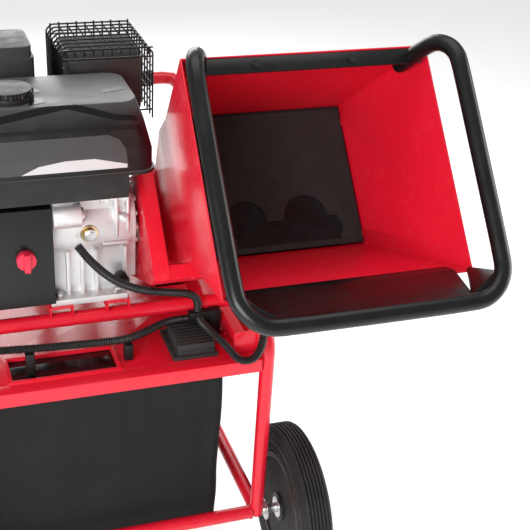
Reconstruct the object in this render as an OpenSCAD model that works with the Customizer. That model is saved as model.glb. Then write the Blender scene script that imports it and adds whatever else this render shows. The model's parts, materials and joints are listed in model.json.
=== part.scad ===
// Petrol wood chipper on a two-wheel tube trolley. Millimetres, +Z up, +X to the right of the operator
// who feeds it, +Y away from the operator. The origin is on the ground below the middle of the object.

/* [Frame] */
// Outside diameter of the frame and guard tubes
tube_d = 28; // [26:0.5:29]
// Distance between the middles of the left and right side frames
frame_w = 560; // [550:5:570]
// Distance from the front posts to the rear posts
frame_l = 520; // [515:5:560]
// Height of the middle of the engine deck tube above the ground
deck_z = 622; // [618:1:626]
// Height of the middle of the shelf rail above the ground
shelf_z = 548; // [544:1:552]

/* [Wheels] */
// Outside diameter of a wheel
wheel_d = 348; // [340:2:356]
// Width of a tyre
tyre_w = 61; // [50:1:64]
// Diameter of the wheel axle
axle_d = 20; // [18:1:20]

/* [Hopper] */
// Angle of the hopper's mouth from the vertical
hopper_tilt = 42; // [42:1:42]
// Width of the hopper's mouth
mouth_w = 425; // [410:5:430]
// Height of the hopper's mouth, along its slope
mouth_h = 392; // [384:2:396]
// Depth from the mouth to the rubber curtain
mouth_depth = 266; // [260:1:270]
// Thickness of the hopper's sheet steel
sheet = 2.5; // [2:0.5:3]

/* [Cutting unit] */
// Radius of the cutting drum
drum_r = 78; // [70:1:80]
// Inside width of the cutting chamber
chamber_w = 104; // [96:1:106]
// Diameter of the drum shaft
shaft_d = 30; // [25:1:32]

/* [Engine] */
// Spacing of the engine's base bolts along the crankshaft
bolt_x = 106; // [104:1:108]
// Spacing of the engine's base bolts across the crankshaft
bolt_y = 195; // [193:1:197]
// Height of the crankshaft above the engine's base
crank_h = 130; // [128:1:132]
// Diameter of the crankshaft's output end
crank_d = 25; // [24:0.5:26]

/* [Display] */
// The piece to draw, or all of them

/* [Hidden] */
$fn = 48;
gap = 0.4;                          // clearance between separate pieces
tr = tube_d / 2;
px = frame_w / 2;                   // side frames stand at +px and -px
axle_z = wheel_d / 2;
deck_y = 119;                       // the deck tube is behind the front posts
cover_top = shelf_z + tr;           // top of the shelf rail and of the bag cover
rail_t = 20;                        // height of the engine rails
base_z = deck_z + tr + rail_t;      // the engine's base stands here
bolt_front_y = deck_y + 7;          // front row of base bolts
engine_at = [-36, bolt_front_y + bolt_y / 2, base_z];
crank_at = [0, -11, crank_h];       // in the engine's frame
pto_x = 94;                         // face that the crankshaft comes out of, in the engine's frame
// the hopper's frame: x across, y up the slope of the mouth, z out of the mouth
hopper_at = [px + 27, 58, 824];
throat_x = [-182, 154];             // left and right side of the throat
throat_y = [-70, 200];              // lower and upper side of the throat
duct_x = [-174, -174 + chamber_w];  // the duct that meets the cutting chamber
duct_y = [-15, 155];
duct_z = -190;
box_z = -60;                        // the throat stays wide down to here
drum_at = [0, 72, duct_z - 28 - drum_r - 14];         // drum axis in the hopper's frame
flange_t = 6;
wall = 5;                           // side plates of the cutting chamber
chamber_x = [duct_x[0] - wall, duct_x[1] + wall];
chamber_r = drum_r + 12;            // inside radius of the chamber's shell
hinge_x = chamber_x[1] + 27;        // hopper hinge, beside the flange
hinge_z = duct_z - 10;
latch_at = [-122, 194];             // star knob, above the flange
drum_y = hopper_at[1] + drum_at[1] * sin(hopper_tilt) - drum_at[2] * cos(hopper_tilt);
drum_z = hopper_at[2] + drum_at[1] * cos(hopper_tilt) + drum_at[2] * sin(hopper_tilt);
chute_w = 66;
chute_at = [hopper_at[0] + duct_x[0] - 2, drum_y];
guard_x = -241;                     // left face of the belt guard
guard_w = 30;
foot_h = 27;                        // of the guard's foot, which stays below the hopper's throat
bar_z = mouth_depth + 86;           // the guard bar's loop is this far out
bar_x = mouth_w / 2 + 5;
bar_low = -mouth_h / 2 - 63;
// middle of the whole object on the ground
left_edge = -px - 114;
right_edge = hopper_at[0] + bar_x + tr;
front_edge = hopper_at[1] + bar_low * sin(hopper_tilt) - bar_z * cos(hopper_tilt) - tr;
back_edge = frame_l + 150 + tr + 4;
middle = [(left_edge + right_edge) / 2, (front_edge + back_edge) / 2, 0];
red = "#d8232a";
black = "#1c1c1e";
steel = "#b9bcc0";
zinc = "#d5d8da";

// ---- shared shapes ----
function unit(v) = v / norm(v);
function tangent(p, i) = unit(p[min(i + 1, len(p) - 1)] - p[max(i - 1, 0)]);
function carry(n, t) = unit(n - (n * t) * t);
function side_vectors(p, i = 0, n = [0.31, 0.52, 0.79]) =
    i >= len(p) ? [] : let (m = carry(n, tangent(p, i))) concat([m], side_vectors(p, i + 1, m));
function smooth_at(a, b, c, d, t) =
    0.5 * (2 * b + (c - a) * t + (2 * a - 5 * b + 4 * c - d) * t * t + (3 * b - a - 3 * c + d) * t * t * t);
function smooth(p, steps) = concat(
    [for (i = [0:len(p) - 2], s = [0:steps - 1])
        smooth_at(p[max(i - 1, 0)], p[i], p[i + 1], p[min(i + 2, len(p) - 1)], s / steps)],
    [p[len(p) - 1]]);

// a round rod swept along the points p, as one closed skin; its ends can be domed
module sweep(p, d, sides, domed = false) {
    n = side_vectors(p);
    end = len(p) - 1;
    dome = domed ? [75, 50, 25] : [];
    // each ring is the point it is on, how far it is moved along the rod, and its radius
    rings = concat(
        [for (a = dome) [0, -sin(a), cos(a)]],
        [for (i = [0:end]) [i, 0, 1]],
        [for (k = [len(dome) - 1:-1:0]) [end, sin(dome[k]), cos(dome[k])]]);
    points = [for (ring = rings, k = [0:sides - 1])
        let (i = ring[0], t = tangent(p, i), b = cross(t, n[i]), a = 360 * k / sides)
        p[i] + d / 2 * (ring[1] * t + ring[2] * (cos(a) * n[i] + sin(a) * b))];
    last = (len(rings) - 1) * sides;
    polyhedron(points, concat(
        [[for (k = [0:sides - 1]) k]],
        [for (i = [0:len(rings) - 2], k = [0:sides - 1]) let (j = (k + 1) % sides)
            [i * sides + k, (i + 1) * sides + k, (i + 1) * sides + j, i * sides + j]],
        [[for (k = [sides - 1:-1:0]) last + k]]));
}

// a straight round bar from a to b
module bar(a, b, d) {
    v = b - a;
    translate(a) rotate([0, acos(v[2] / norm(v)), atan2(v[1], v[0])]) cylinder(d = d, h = norm(v));
}

// a bent tube in the YZ plane of a side frame: the quarter turn from vertical to running back
module bend_yz(y, z, r, turn) {
    translate([0, y, z]) rotate([90, 0, 90]) rotate_extrude(angle = 90, start = turn)
        translate([r, 0]) circle(d = tube_d);
}

module along_x(x0, x1, r) {
    translate([x0, 0, 0]) rotate([0, 90, 0]) cylinder(r = r, h = x1 - x0);
}

// a box with rounded vertical edges
module rounded_box(size, r) {
    linear_extrude(size[2]) hull() for (x = [r, size[0] - r], y = [r, size[1] - r])
        translate([x, y]) circle(r, $fn = 32);
}

module hex_bolt(d, head, length) {
    cylinder(d = d, h = length);
    translate([0, 0, length]) cylinder(d = head, h = head * 0.4, $fn = 6);
    translate([0, 0, length - 1.5]) cylinder(d = head * 1.35, h = 1.5);
}

module in_hopper() {
    translate(hopper_at) rotate([90 - hopper_tilt, 0, 0]) children();
}

module in_engine() {
    translate(engine_at) children();
}

module at_drum() {
    in_hopper() translate(drum_at) children();
}

// ---- trolley frame ----
bend_r = 60;

module side_frame(x) {
    translate([x, 0, 0]) color(red) difference() {
        union() {
            translate([0, 0, axle_z]) cylinder(r = tr, h = deck_z - bend_r - axle_z);
            bend_yz(bend_r, deck_z - bend_r, bend_r, 90);
            bar([0, bend_r, deck_z], [0, deck_y, deck_z], tube_d);
            bar([0, 0, shelf_z], [0, frame_l, shelf_z], tube_d);
            bar([0, 0, axle_z], [0, frame_l, axle_z], tube_d);
            translate([0, frame_l, 30]) cylinder(r = tr, h = deck_z - 30);
            translate([0, 0, axle_z]) sphere(r = tr);
            translate([0, frame_l, deck_z]) sphere(r = tr);
        }
        translate([0, 0, axle_z]) along_x(-tr - 10, tr + 10, axle_d / 2 + 0.3);
    }
}

module side_frame_right() { side_frame(px); }
module side_frame_left() { side_frame(-px); }

module axle_tube() {
    color(red) translate([0, 0, axle_z]) difference() {
        along_x(tr + gap - px, px - tr - gap, tr);
        along_x(-px, px, axle_d / 2 + 1);
    }
}

// the deck tube in front of the engine, and two tubes between the rear posts
module cross_tubes() {
    color(red) for (at = [[deck_y, deck_z], [frame_l, axle_z], [frame_l, deck_z]])
        translate([0, at[0], at[1]]) along_x(tr + gap - px, px - tr - gap, tr);
}

module shelf_rail() {
    color(red) difference() {
        translate([tr + gap - px, -tr, shelf_z - tr]) cube([frame_w - tube_d - 2 * gap, tube_d, tube_d]);
        translate([tr - px, -tr + 2, shelf_z - tr + 2]) cube([frame_w - tube_d, tube_d - 4, tube_d - 4]);
    }
}

// two channel rails that the engine is bolted to
module engine_rails() {
    color(red) for (s = [-1, 1]) translate([engine_at[0] + s * bolt_x / 2, 0, deck_z + tr + 0.2]) difference() {
        translate([-22, deck_y - tr, 0]) cube([44, frame_l + 2 * tr - deck_y, rail_t - 0.4]);
        translate([-19, deck_y - tr - 1, -1]) cube([38, frame_l + 2 * tr - deck_y + 2, rail_t - 3]);
        for (y = [bolt_front_y, bolt_front_y + bolt_y]) translate([0, y, -1]) cylinder(d = 10, h = rail_t + 2);
    }
}

// folded sheet box beside the right post, below the hopper
module hopper_bracket() {
    x0 = px - tr - 49;
    x1 = px - tr - gap;
    color(red) difference() {
        translate([x0, 16, cover_top + gap]) cube([x1 - x0, deck_y - tr - 17, deck_z - tr - cover_top]);
        translate([x0 + 3, 19, cover_top - 1]) cube([x1 - x0 + 6, deck_y, deck_z]);
        translate([x0 - 1, 70, cover_top + 14]) rotate([0, 90, 0]) cylinder(d = 9, h = 8);
    }
}

// bent tube bolted behind the rear posts, with the crossbar that the operator pushes
handle_y = frame_l + tube_d + gap;
grip_at = [frame_l + 150, deck_z + 260];
function handle_half(s) = [
    [s * px, handle_y, deck_z - 110], [s * px, handle_y, deck_z + 20], [s * px, handle_y, deck_z + 150],
    [s * px, handle_y + 6, deck_z + 172], [s * px, handle_y + 22, deck_z + 188],
    [s * px, grip_at[0] - 40, grip_at[1] - 26], [s * (px - 4), grip_at[0] - 16, grip_at[1] - 10],
    [s * (px - 16), grip_at[0] - 3, grip_at[1] - 2], [s * (px - 36), grip_at[0], grip_at[1]]];
module push_handle() {
    color(red) sweep(concat(handle_half(-1), reverse(handle_half(1))), tube_d, 16);
}

module handle_grips() {
    color(black) for (s = [-1, 1]) translate([s * 150, grip_at[0], grip_at[1]]) difference() {
        along_x(-70, 70, tr + 4);
        along_x(-71, 71, tr + 0.1);
    }
}

module rubber_feet() {
    color(black) for (s = [-1, 1]) translate([s * px, frame_l, 0]) {
        cylinder(d1 = 54, d2 = 44, h = 29.8);
    }
}

// ---- collection bag and its cover ----
bag_x = [-px + 15, px - tr - 52];
bag_y = [20, frame_l - 30];
bag_z = [128, shelf_z - 16];
window_x = [-196, -5];
window_y = [22, 92];

module bag_cover() {
    x0 = tr + 2 - px;
    w = frame_w - tube_d - 4;
    color(red) difference() {
        union() {
            translate([x0, tr + gap, cover_top - 3]) cube([w, frame_l - tube_d - 8, 3]);
            for (y = [tr + gap, frame_l - tr - 12]) translate([x0, y, cover_top - 26]) cube([w, 3, 24]);
            translate([window_x[0] - 8, window_y[0] - 7, cover_top - 1])
                cube([window_x[1] - window_x[0] + 16, window_y[1] - window_y[0] + 14, 5]);
        }
        translate([window_x[0], window_y[0], cover_top - 10])
            cube([window_x[1] - window_x[0], window_y[1] - window_y[0], 30]);
        translate([chute_at[0] - 2, chute_at[1] - 58, cover_top - 10]) cube([chute_w + 4, 116, 20]);
    }
}

module bag_window() {
    color("#2a2a2c") translate([window_x[0] - 4, window_y[0] - 4, cover_top - 6.5])
        cube([window_x[1] - window_x[0] + 8, window_y[1] - window_y[0] + 8, 3]);
}

// a closed outline of the fabric bag, open at the top below the cover
module collection_bag() {
    color(black) difference() {
        translate([bag_x[0], bag_y[0], bag_z[0]])
            rounded_box([bag_x[1] - bag_x[0], bag_y[1] - bag_y[0], bag_z[1] - bag_z[0]], 20);
        translate([bag_x[0] + 5, bag_y[0] + 5, bag_z[0] + 5])
            rounded_box([bag_x[1] - bag_x[0] - 10, bag_y[1] - bag_y[0] - 10, 600], 16);
    }
}

// J hooks between the bag's hem and the cover
module bag_hooks() {
    color(steel) for (x = [-236, 20, 90, 170], y = [bag_y[0] + 2, bag_y[1] - 12]) translate([x, y, 0]) {
        translate([0, 4, bag_z[1] - 12]) cube([14, 2, cover_top - 3.4 - bag_z[1] + 12]);
        translate([0, -1, bag_z[1] + 0.4]) cube([14, 7, 2]);
    }
}

// ---- wheels ----
wheel_in = 46;                      // from the post's middle to the wheel
module axle_shaft() {
    color(steel) translate([0, 0, axle_z]) along_x(-px - 107 - 2, px + 107 + 2, axle_d / 2);
}

module tyre(x) {
    r = axle_z;
    translate([x, 0, r]) rotate([0, 90, 0]) color(black) rotate_extrude($fn = 96) difference() {
        union() {
            translate([118, -tyre_w / 2]) square([r - 128, tyre_w]);
            translate([r - 16, 10 - tyre_w / 2]) square([16, tyre_w - 20]);
            for (s = [-1, 1]) translate([r - 10, s * (tyre_w / 2 - 10)]) circle(10, $fn = 32);
        }
        for (k = [-2:2]) translate([r - 4, k * 9 - 1.5]) square([6, 3]);
    }
}

module rim(x) {
    translate([x, 0, axle_z]) color(black) {
        rotate([0, 90, 0]) rotate_extrude($fn = 96) {
            translate([106, -tyre_w / 2 + 2]) square([11.8, tyre_w - 4]);
            translate([30, -4]) square([80, 8]);
            translate([axle_d / 2 + 0.08, -30]) square([20, 60]);
        }
        for (a = [0:30:330]) rotate([a, 0, 0]) translate([-24, -3, 28]) cube([48, 6, 80]);
    }
}

module tyre_right() { tyre(px + wheel_in + tyre_w / 2); }
module tyre_left() { tyre(-px - wheel_in - tyre_w / 2); }
module rim_right() { rim(px + wheel_in + tyre_w / 2); }
module rim_left() { rim(-px - wheel_in - tyre_w / 2); }

module hub_caps() {
    color(zinc) for (s = [-1, 1]) translate([s * px, 0, axle_z]) {
        for (at = [tr + 3.5, wheel_in - 2.6]) translate([s * at, 0, 0]) difference() {
            along_x(s > 0 ? 0 : -2.5, s > 0 ? 2.5 : 0, 22);
            along_x(-4, 4, axle_d / 2 + 0.02);
        }
        translate([s * 111, 0, 0]) difference() {
            along_x(-3, 3, 15);
            along_x(s > 0 ? -4 : -1, s > 0 ? 1 : 4, axle_d / 2 + 0.02);
        }
    }
}

// ---- cutting unit ----
module cutting_chamber() {
    depth = duct_z - drum_at[2];
    at_drum() color(red) difference() {
        union() {
            // side plates, with ears to the deck tube and the rear tube
            for (x = [chamber_x[0], duct_x[1]]) translate([x, 0, 0]) rotate([90, 0, 90]) linear_extrude(wall) {
                circle(chamber_r + 6, $fn = 96);
                translate([-87, 0]) square([174, depth - 0.5]);
            }
            // the curved shell and the front flange
            translate([chamber_x[0], 0, 0]) rotate([90, 0, 90])
                linear_extrude(chamber_w + 2 * wall) difference() {
                    union() {
                        circle(chamber_r + 6, $fn = 96);
                        translate([-91, 0]) square([182, depth - 0.5]);
                    }
                    circle(chamber_r, $fn = 96);
                    translate([-87, 0]) square([170, depth + 1]);
                }
            translate([chamber_x[0] - 18, -102, depth - flange_t - 0.5])
                cube([chamber_w + 2 * wall + 27, 202, flange_t]);
            translate([latch_at[0] - 20, 96, depth - flange_t - 0.5]) cube([40, 46, flange_t]);
        }
        translate([latch_at[0], latch_at[1] - drum_at[1], depth - 20]) cylinder(d = 16, h = 40);
        // the way in, the shaft holes and the way out at the bottom
        translate([duct_x[0], duct_y[0] - drum_at[1], depth - 40])
            cube([chamber_w, duct_y[1] - duct_y[0], 60]);
        translate([-300, 0, 0]) along_x(0, 600, shaft_d / 2 + 4);
        rotate([hopper_tilt - 90, 0, 0]) translate([duct_x[0], -50, -140]) cube([chute_w - 4, 100, 90]);
        translate([duct_x[0], -85, -30]) cube([chamber_w, 168, depth + 20]);
    }
}

// small service lid over the chamber's top
module chamber_lid() {
    at_drum() color(red) translate([duct_x[0] + 8, 0, 0]) rotate([90, 0, 90]) linear_extrude(chamber_w - 16)
        difference() {
            circle(chamber_r + 9.5, $fn = 96);
            circle(chamber_r + 6.3, $fn = 96);
            translate([-200, -5]) square([400, 205]);
            translate([-200, -200]) square([230, 400]);
        }
}

module discharge_chute() {
    low = shelf_z - 40;
    color(red) translate([chute_at[0], chute_at[1] - 56, low]) difference() {
        cube([chute_w, 112, drum_z - chamber_r - low - 8]);
        translate([2, 2, -1]) cube([chute_w - 4, 108, 300]);
        translate([-10, 56, drum_z - low]) rotate([0, 90, 0]) cylinder(r = chamber_r + 6.5, h = 200, $fn = 96);
    }
}

module cutting_drum() {
    at_drum() color(steel) {
        difference() {
            along_x(duct_x[0] + 6, duct_x[1] - 6, drum_r - 6);
            for (a = [20, 200]) rotate([a, 0, 0])
                translate([duct_x[0], -12, drum_r - 24]) cube([chamber_w, 24, 30]);
        }
        along_x(guard_x + 5, duct_x[1] + 52, shaft_d / 2);
    }
}

module drum_knives() {
    at_drum() color(zinc) for (a = [20, 200]) rotate([a, 0, 0]) difference() {
        translate([duct_x[0] + 8, -11.7, drum_r - 23.7]) cube([chamber_w - 16, 9, 25]);
        for (x = [24, 80]) translate([duct_x[0] + x, -13, drum_r - 14]) rotate([-90, 0, 0]) cylinder(d = 8.5, h = 12);
    }
}

module anvil_knife() {
    at_drum() color(zinc) translate([duct_x[0] + 1, -86, 44]) cube([chamber_w - 2, 18, 14]);
}

module drum_bearings() {
    at_drum() color("#3f4347") for (x = [chamber_x[0] - 0.3 - 22, chamber_x[1] + 0.3]) difference() {
        union() {
            along_x(x, x + 22, 38);
            translate([x > -150 ? x : x + 12, -45, -45]) cube([10, 90, 90]);
        }
        along_x(x - 1, x + 60, shaft_d / 2 + 0.05);
    }
}

guard_drop = -88;                   // lower edge of the belt guard's front face
module guard_outline() {
    // z of the hopper's frame runs along the guard
    hull() {
        translate([drum_at[1], drum_at[2]]) circle(70, $fn = 64);
        translate([-60, -66]) circle(28, $fn = 32);
        translate([-88, -41]) square([205, 1]);
        translate([92, -120]) circle(40, $fn = 32);
    }
}

// sheet cover over the belt, with its foot below the hopper
module belt_guard() {
    t = 2;
    in_hopper() color(red) {
        difference() {
            translate([guard_x, 0, 0]) rotate([90, 0, 90]) linear_extrude(guard_w) guard_outline();
            translate([guard_x + t, 0, 0]) rotate([90, 0, 90]) linear_extrude(guard_w - 2 * t)
                offset(delta = -t) guard_outline();
            for (at = [crank_in_hopper(), drum_at]) translate([guard_x - 1, at[1], at[2]]) along_x(0, 2 * t, 19);
            translate([guard_x + guard_w - t - 1, drum_at[1], drum_at[2]]) along_x(0, 2 * t, 19);
        }
        difference() {
            translate([guard_x + guard_w - 0.5, guard_drop, -66]) cube([66, foot_h, 25]);
            translate([guard_x + guard_w + 44, guard_drop - 1, -54]) rotate([-90, 0, 0]) cylinder(d = 9, h = 50);
        }
    }
}

// where the crankshaft's axis crosses the hopper's frame
function crank_in_hopper() = let (y = engine_at[1] + crank_at[1] - hopper_at[1], z = base_z + crank_h - hopper_at[2])
    [0, y * sin(hopper_tilt) + z * cos(hopper_tilt), z * sin(hopper_tilt) - y * cos(hopper_tilt)];

module pulley(x, r, bore) {
    difference() {
        translate([x, 0, 0]) rotate([0, 90, 0]) rotate_extrude($fn = 96) difference() {
            square([r, 20]);
            polygon([[r + 0.1, 3], [r - 11, 7], [r - 11, 13], [r + 0.1, 17]]);
        }
        translate([x - 1, 0, 0]) along_x(0, 30, bore);
    }
}

crank_pulley_r = 46;
drum_pulley_r = 58;

module crank_pulley() {
    x = engine_at[0] + pto_x;
    in_hopper() translate(crank_in_hopper()) color(steel) {
        pulley(guard_x + 5, crank_pulley_r, crank_d / 2 - 1);
        along_x(x - hopper_at[0] - 60, guard_x + 26, crank_d / 2);
    }
}

module drum_pulley() {
    at_drum() color(steel) pulley(guard_x + 5, drum_pulley_r, shaft_d / 2 + 0.05);
}

module drive_belt() {
    c = crank_in_hopper();
    in_hopper() color(black) translate([guard_x + 12.4, 0, 0]) rotate([90, 0, 90]) linear_extrude(5.2) difference() {
        belt_outline(c, -1.5);
        belt_outline(c, -10.6);
    }
}

module belt_outline(c, grow) {
    hull() {
        translate([c[1], c[2]]) circle(crank_pulley_r + grow, $fn = 64);
        translate([drum_at[1], drum_at[2]]) circle(drum_pulley_r + grow, $fn = 64);
    }
}

// ---- hopper ----
// a solid between a rectangle at height z0 and another at z1, both grown by t
module frustum(x0, y0, z0, x1, y1, z1, t) {
    polyhedron(
        [for (end = [[x0, y0, z0], [x1, y1, z1]], corner = [[0, 0], [1, 0], [1, 1], [0, 1]])
            [end[0][corner[0]] + (2 * corner[0] - 1) * t, end[1][corner[1]] + (2 * corner[1] - 1) * t, end[2]]],
        [[0, 1, 2, 3], [7, 6, 5, 4], [0, 4, 5, 1], [1, 5, 6, 2], [2, 6, 7, 3], [3, 7, 4, 0]]);
}

mouth_x = [-mouth_w / 2, mouth_w / 2];
mouth_y = [-mouth_h / 2, mouth_h / 2];

box_y = [throat_y[0] + 16, throat_y[1]];
module hopper_body(t, out) {
    frustum(throat_x, throat_y, 0, mouth_x, mouth_y, mouth_depth + out, t);
    frustum(throat_x, box_y, box_z, throat_x, throat_y, 0, t);
    frustum(duct_x, duct_y, duct_z - out, throat_x, box_y, box_z, t);
}

module hopper_shell() {
    in_hopper() color(red) {
        difference() {
            union() {
                hopper_body(0, 0);
                translate([duct_x[0] - 20, -26, duct_z]) cube([chamber_w + 43, 192, flange_t]);
                translate([latch_at[0] - 20, 160, duct_z]) cube([40, 54, flange_t]);
                translate([hinge_x - 12, -26, duct_z]) cube([20, 192, flange_t]);
                for (y = [-22, 130]) translate([hinge_x, y, hinge_z]) rotate([-90, 0, 0]) cylinder(d = 22, h = 36);
            }
            hopper_body(-sheet, 1);
            translate([hinge_x, -40, hinge_z]) rotate([-90, 0, 0]) cylinder(d = 10.1, h = 260);
            translate([latch_at[0], latch_at[1], duct_z - 1]) cylinder(d = 8.1, h = 20);
        }
        // stops that the rubber curtain leans on
        for (x = [throat_x[0] + 1, throat_x[1] - 25], y = [throat_y[0] + 12, throat_y[1] - 40])
            translate([x, y, 0]) cube([24, 14, 5.6]);
    }
}

// pin and its two fixed knuckles on the cutting chamber
module hopper_hinge_pin() {
    in_hopper() color(steel) translate([hinge_x, 0, hinge_z]) {
        translate([0, -42, 0]) rotate([-90, 0, 0]) cylinder(d = 10, h = 222);
        for (y = [16, 92]) translate([0, y, 0]) rotate([-90, 0, 0]) cylinder(d = 18, h = 36);
        for (y = [16, 92]) translate([chamber_x[1] + gap - hinge_x, y, -10]) cube([20, 36, 10]);
    }
}

// star knob that holds the hopper shut
module hopper_latch() {
    in_hopper() color(black) translate([latch_at[0], latch_at[1], duct_z + flange_t + 0.3]) {
        for (a = [0:72:288]) rotate(a) translate([10, 0, 0]) cylinder(r = 6, h = 16);
        cylinder(r = 11, h = 18);
        color(steel) translate([0, 0, -flange_t]) cylinder(d = 8, h = flange_t + 2);
    }
}

// rubber flap: a whole sheet, and a sheet with a lobed cut-out glued on it
module rubber_curtain() {
    x0 = throat_x[0] + 6;
    in_hopper() color(black) {
        translate([x0, throat_y[0] + 2, 6])
            cube([throat_x[1] - throat_x[0] - 12, throat_y[1] - throat_y[0] - 6, 2]);
        translate([0, 0, 8]) linear_extrude(3) difference() {
            translate([x0, throat_y[0] + 2]) square([throat_x[1] - throat_x[0] - 12, throat_y[1] - throat_y[0] - 6]);
            translate([-68, -9]) circle(38, $fn = 64);
            translate([46, -11]) circle(42, $fn = 64);
            translate([91, -34]) circle(23, $fn = 48);
            translate([-92, -57]) square([200, 44]);
        }
        translate([x0, throat_y[1] - 10, 8.5]) along_x(0, throat_x[1] - throat_x[0] - 12, 4);
    }
}

corner_r = 62;
function bar_corner(s) = [for (a = [0:15:90])
    [s * (bar_x - corner_r + corner_r * cos(a)), bar_low + corner_r - corner_r * sin(a), bar_z]];
function bar_end(s) = [for (a = [90:-15:15])
    [s * (bar_x - 24 + 24 * sin(a)), 126 + 53 * cos(a), bar_z - 48 + 48 * sin(a)]];
function bar_tip(s) = [[s * (bar_x - 39), 179, mouth_depth - 36], [s * (bar_x - 26), 179, mouth_depth + 26]];
function reverse(p) = [for (i = [len(p) - 1:-1:0]) p[i]];
function bar_half(s) = concat(
    bar_tip(s), reverse(bar_end(s)), [[s * bar_x, 30, bar_z]], bar_corner(s));

module guard_bar() {
    in_hopper() color(black) {
        sweep(concat(bar_half(-1), reverse(bar_half(1))), tube_d, 16, domed = true);
    }
}

// upper face of the hopper's bottom wall, at z of the hopper's frame
function lip_y(z) = throat_y[0] + (mouth_y[0] - throat_y[0]) * z / (mouth_depth + 1) + sheet + gap;

// black strip along the top, apron along the bottom and end gussets of the mouth
module hopper_trim() {
    in_hopper() color(black) {
        translate([mouth_x[0] + 16, mouth_y[1] - 30, mouth_depth - 3]) cube([mouth_w - 30, 26, 2.6]);
        translate([mouth_x[0] + 16, mouth_y[1] - 3.4 - sheet, mouth_depth - 30]) cube([mouth_w - 30, 2.6, 28]);
        hull() {
            translate([mouth_x[0] + 34, lip_y(mouth_depth - 26), mouth_depth - 26]) cube([mouth_w - 68, 3, 1]);
            translate([mouth_x[0] + 34, lip_y(mouth_depth), mouth_depth + 1]) cube([mouth_w - 68, 3, 1]);
        }
        hull() {
            translate([mouth_x[0] + 34, lip_y(mouth_depth), mouth_depth + 1]) cube([mouth_w - 68, 3, 1]);
            translate([mouth_x[0] + 50, bar_low + 8, bar_z - 10]) cube([mouth_w - 100, 3, 1]);
        }
        for (s = [-1, 1]) hull() {
            translate([s * (mouth_w / 2 - 8), mouth_y[0] + 4, mouth_depth + gap]) cylinder(d = 8, h = 4);
            translate([s * (bar_x - 14), bar_low + 40, bar_z - 3]) cylinder(d = 10, h = 3);
            translate([s * (bar_x - 60), bar_low + 10, bar_z - 3]) cylinder(d = 8, h = 3);
        }
    }
}

module hopper_bolts() {
    in_hopper() color(zinc) {
        for (x = [-102, 60]) {
            translate([x, mouth_y[1] + 5, mouth_depth - 16]) rotate([90, 0, 0]) hex_bolt(6, 11, 13);
            translate([x, mouth_y[0] - 5, mouth_depth - 12]) rotate([-90, 0, 0]) hex_bolt(6, 11, 12);
        }
    }
}

// ---- engine ----
module engine_block() {
    in_engine() color(steel) difference() {
        union() {
            translate([-bolt_x / 2 - 18, -bolt_y / 2 - 16, 0]) cube([bolt_x + 36, bolt_y + 32, 12]);
            translate([-62, -86, 10]) cube([146, 172, 116]);
            translate([0, crank_at[1], crank_h]) along_x(-62, 84, 82);
            translate([-50, -80, 150]) cube([126, 120, 62]);
            for (x = [-38, -12, 14, 68]) translate([x, -96, 10]) cube([6, 192, 90]);
            translate([10, 60, 150]) rotate([-65, 0, 0]) cylinder(r = 52, h = 40);
        }
        for (x = [-1, 1], y = [-1, 1]) translate([x * bolt_x / 2, y * bolt_y / 2, -1]) cylinder(d = 10, h = 20);
        translate([-70, crank_at[1], crank_h]) along_x(0, 200, crank_d / 2 + 3);
    }
}

// crankcase side cover on the output side
module engine_cover() {
    in_engine() color(steel) translate([84.3, crank_at[1], crank_h]) {
        difference() {
            union() {
                along_x(0, 9.4, 78);
                translate([0, -70, -100]) cube([9.4, 140, 100]);
            }
            along_x(-1, 12, crank_d / 2 + 3);
        }
        for (a = [0:45:315]) rotate([a, 0, 0]) translate([9, 0, 68]) along_x(0, 5, 6);
    }
}

// inclined cylinder with cooling fins, head and rocker cover
module cylinder_fins() {
    in_engine() color(steel) translate([10, 60, 150]) rotate([-65, 0, 0]) {
        translate([0, 0, 40.3]) cylinder(r = 44, h = 96);
        for (k = [0:6]) translate([-58, -56, 44 + 9 * k]) cube([116, 112, 3]);
        translate([-56, -52, 108]) cube([112, 104, 30]);
        translate([-50, -38, 138]) cube([100, 78, 26]);
    }
}

rope_angle = 75;                    // the starter rope leaves this far forward of straight up
module fan_shroud() {
    in_engine() color(black) difference() {
        union() {
            translate([0, crank_at[1], crank_h]) along_x(-190, -64, 113);
            translate([-190, -125, 12.5]) cube([126, 222, 116]);
            translate([-190, -125, 100]) cube([126, 130, 104]);
            translate([-190, 0, 125]) cube([126, 130, 120]);
        }
        translate([0, crank_at[1], crank_h]) along_x(-191, -60, 92);
    }
}

module recoil_starter() {
    in_engine() translate([0, crank_at[1], crank_h]) color(black) difference() {
        union() {
            along_x(-232, -190.4, 110);
            along_x(-240, -232, 60);
        }
        along_x(-228, -180, 100);
        for (a = [0:30:330]) rotate([a, 0, 0]) translate([-245, -7, 70]) cube([30, 14, 26]);
        rotate([rope_angle, 0, 0]) translate([-212, 0, 60]) cylinder(d = 10, h = 80);
    }
}

module recoil_handle() {
    in_engine() translate([0, crank_at[1], crank_h]) rotate([rope_angle, 0, 0]) translate([-216, 0, 112.8])
        color(black) {
            cylinder(d1 = 22, d2 = 16, h = 16);
            translate([-24, -8, 12]) cube([48, 16, 14]);
        }
}

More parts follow.
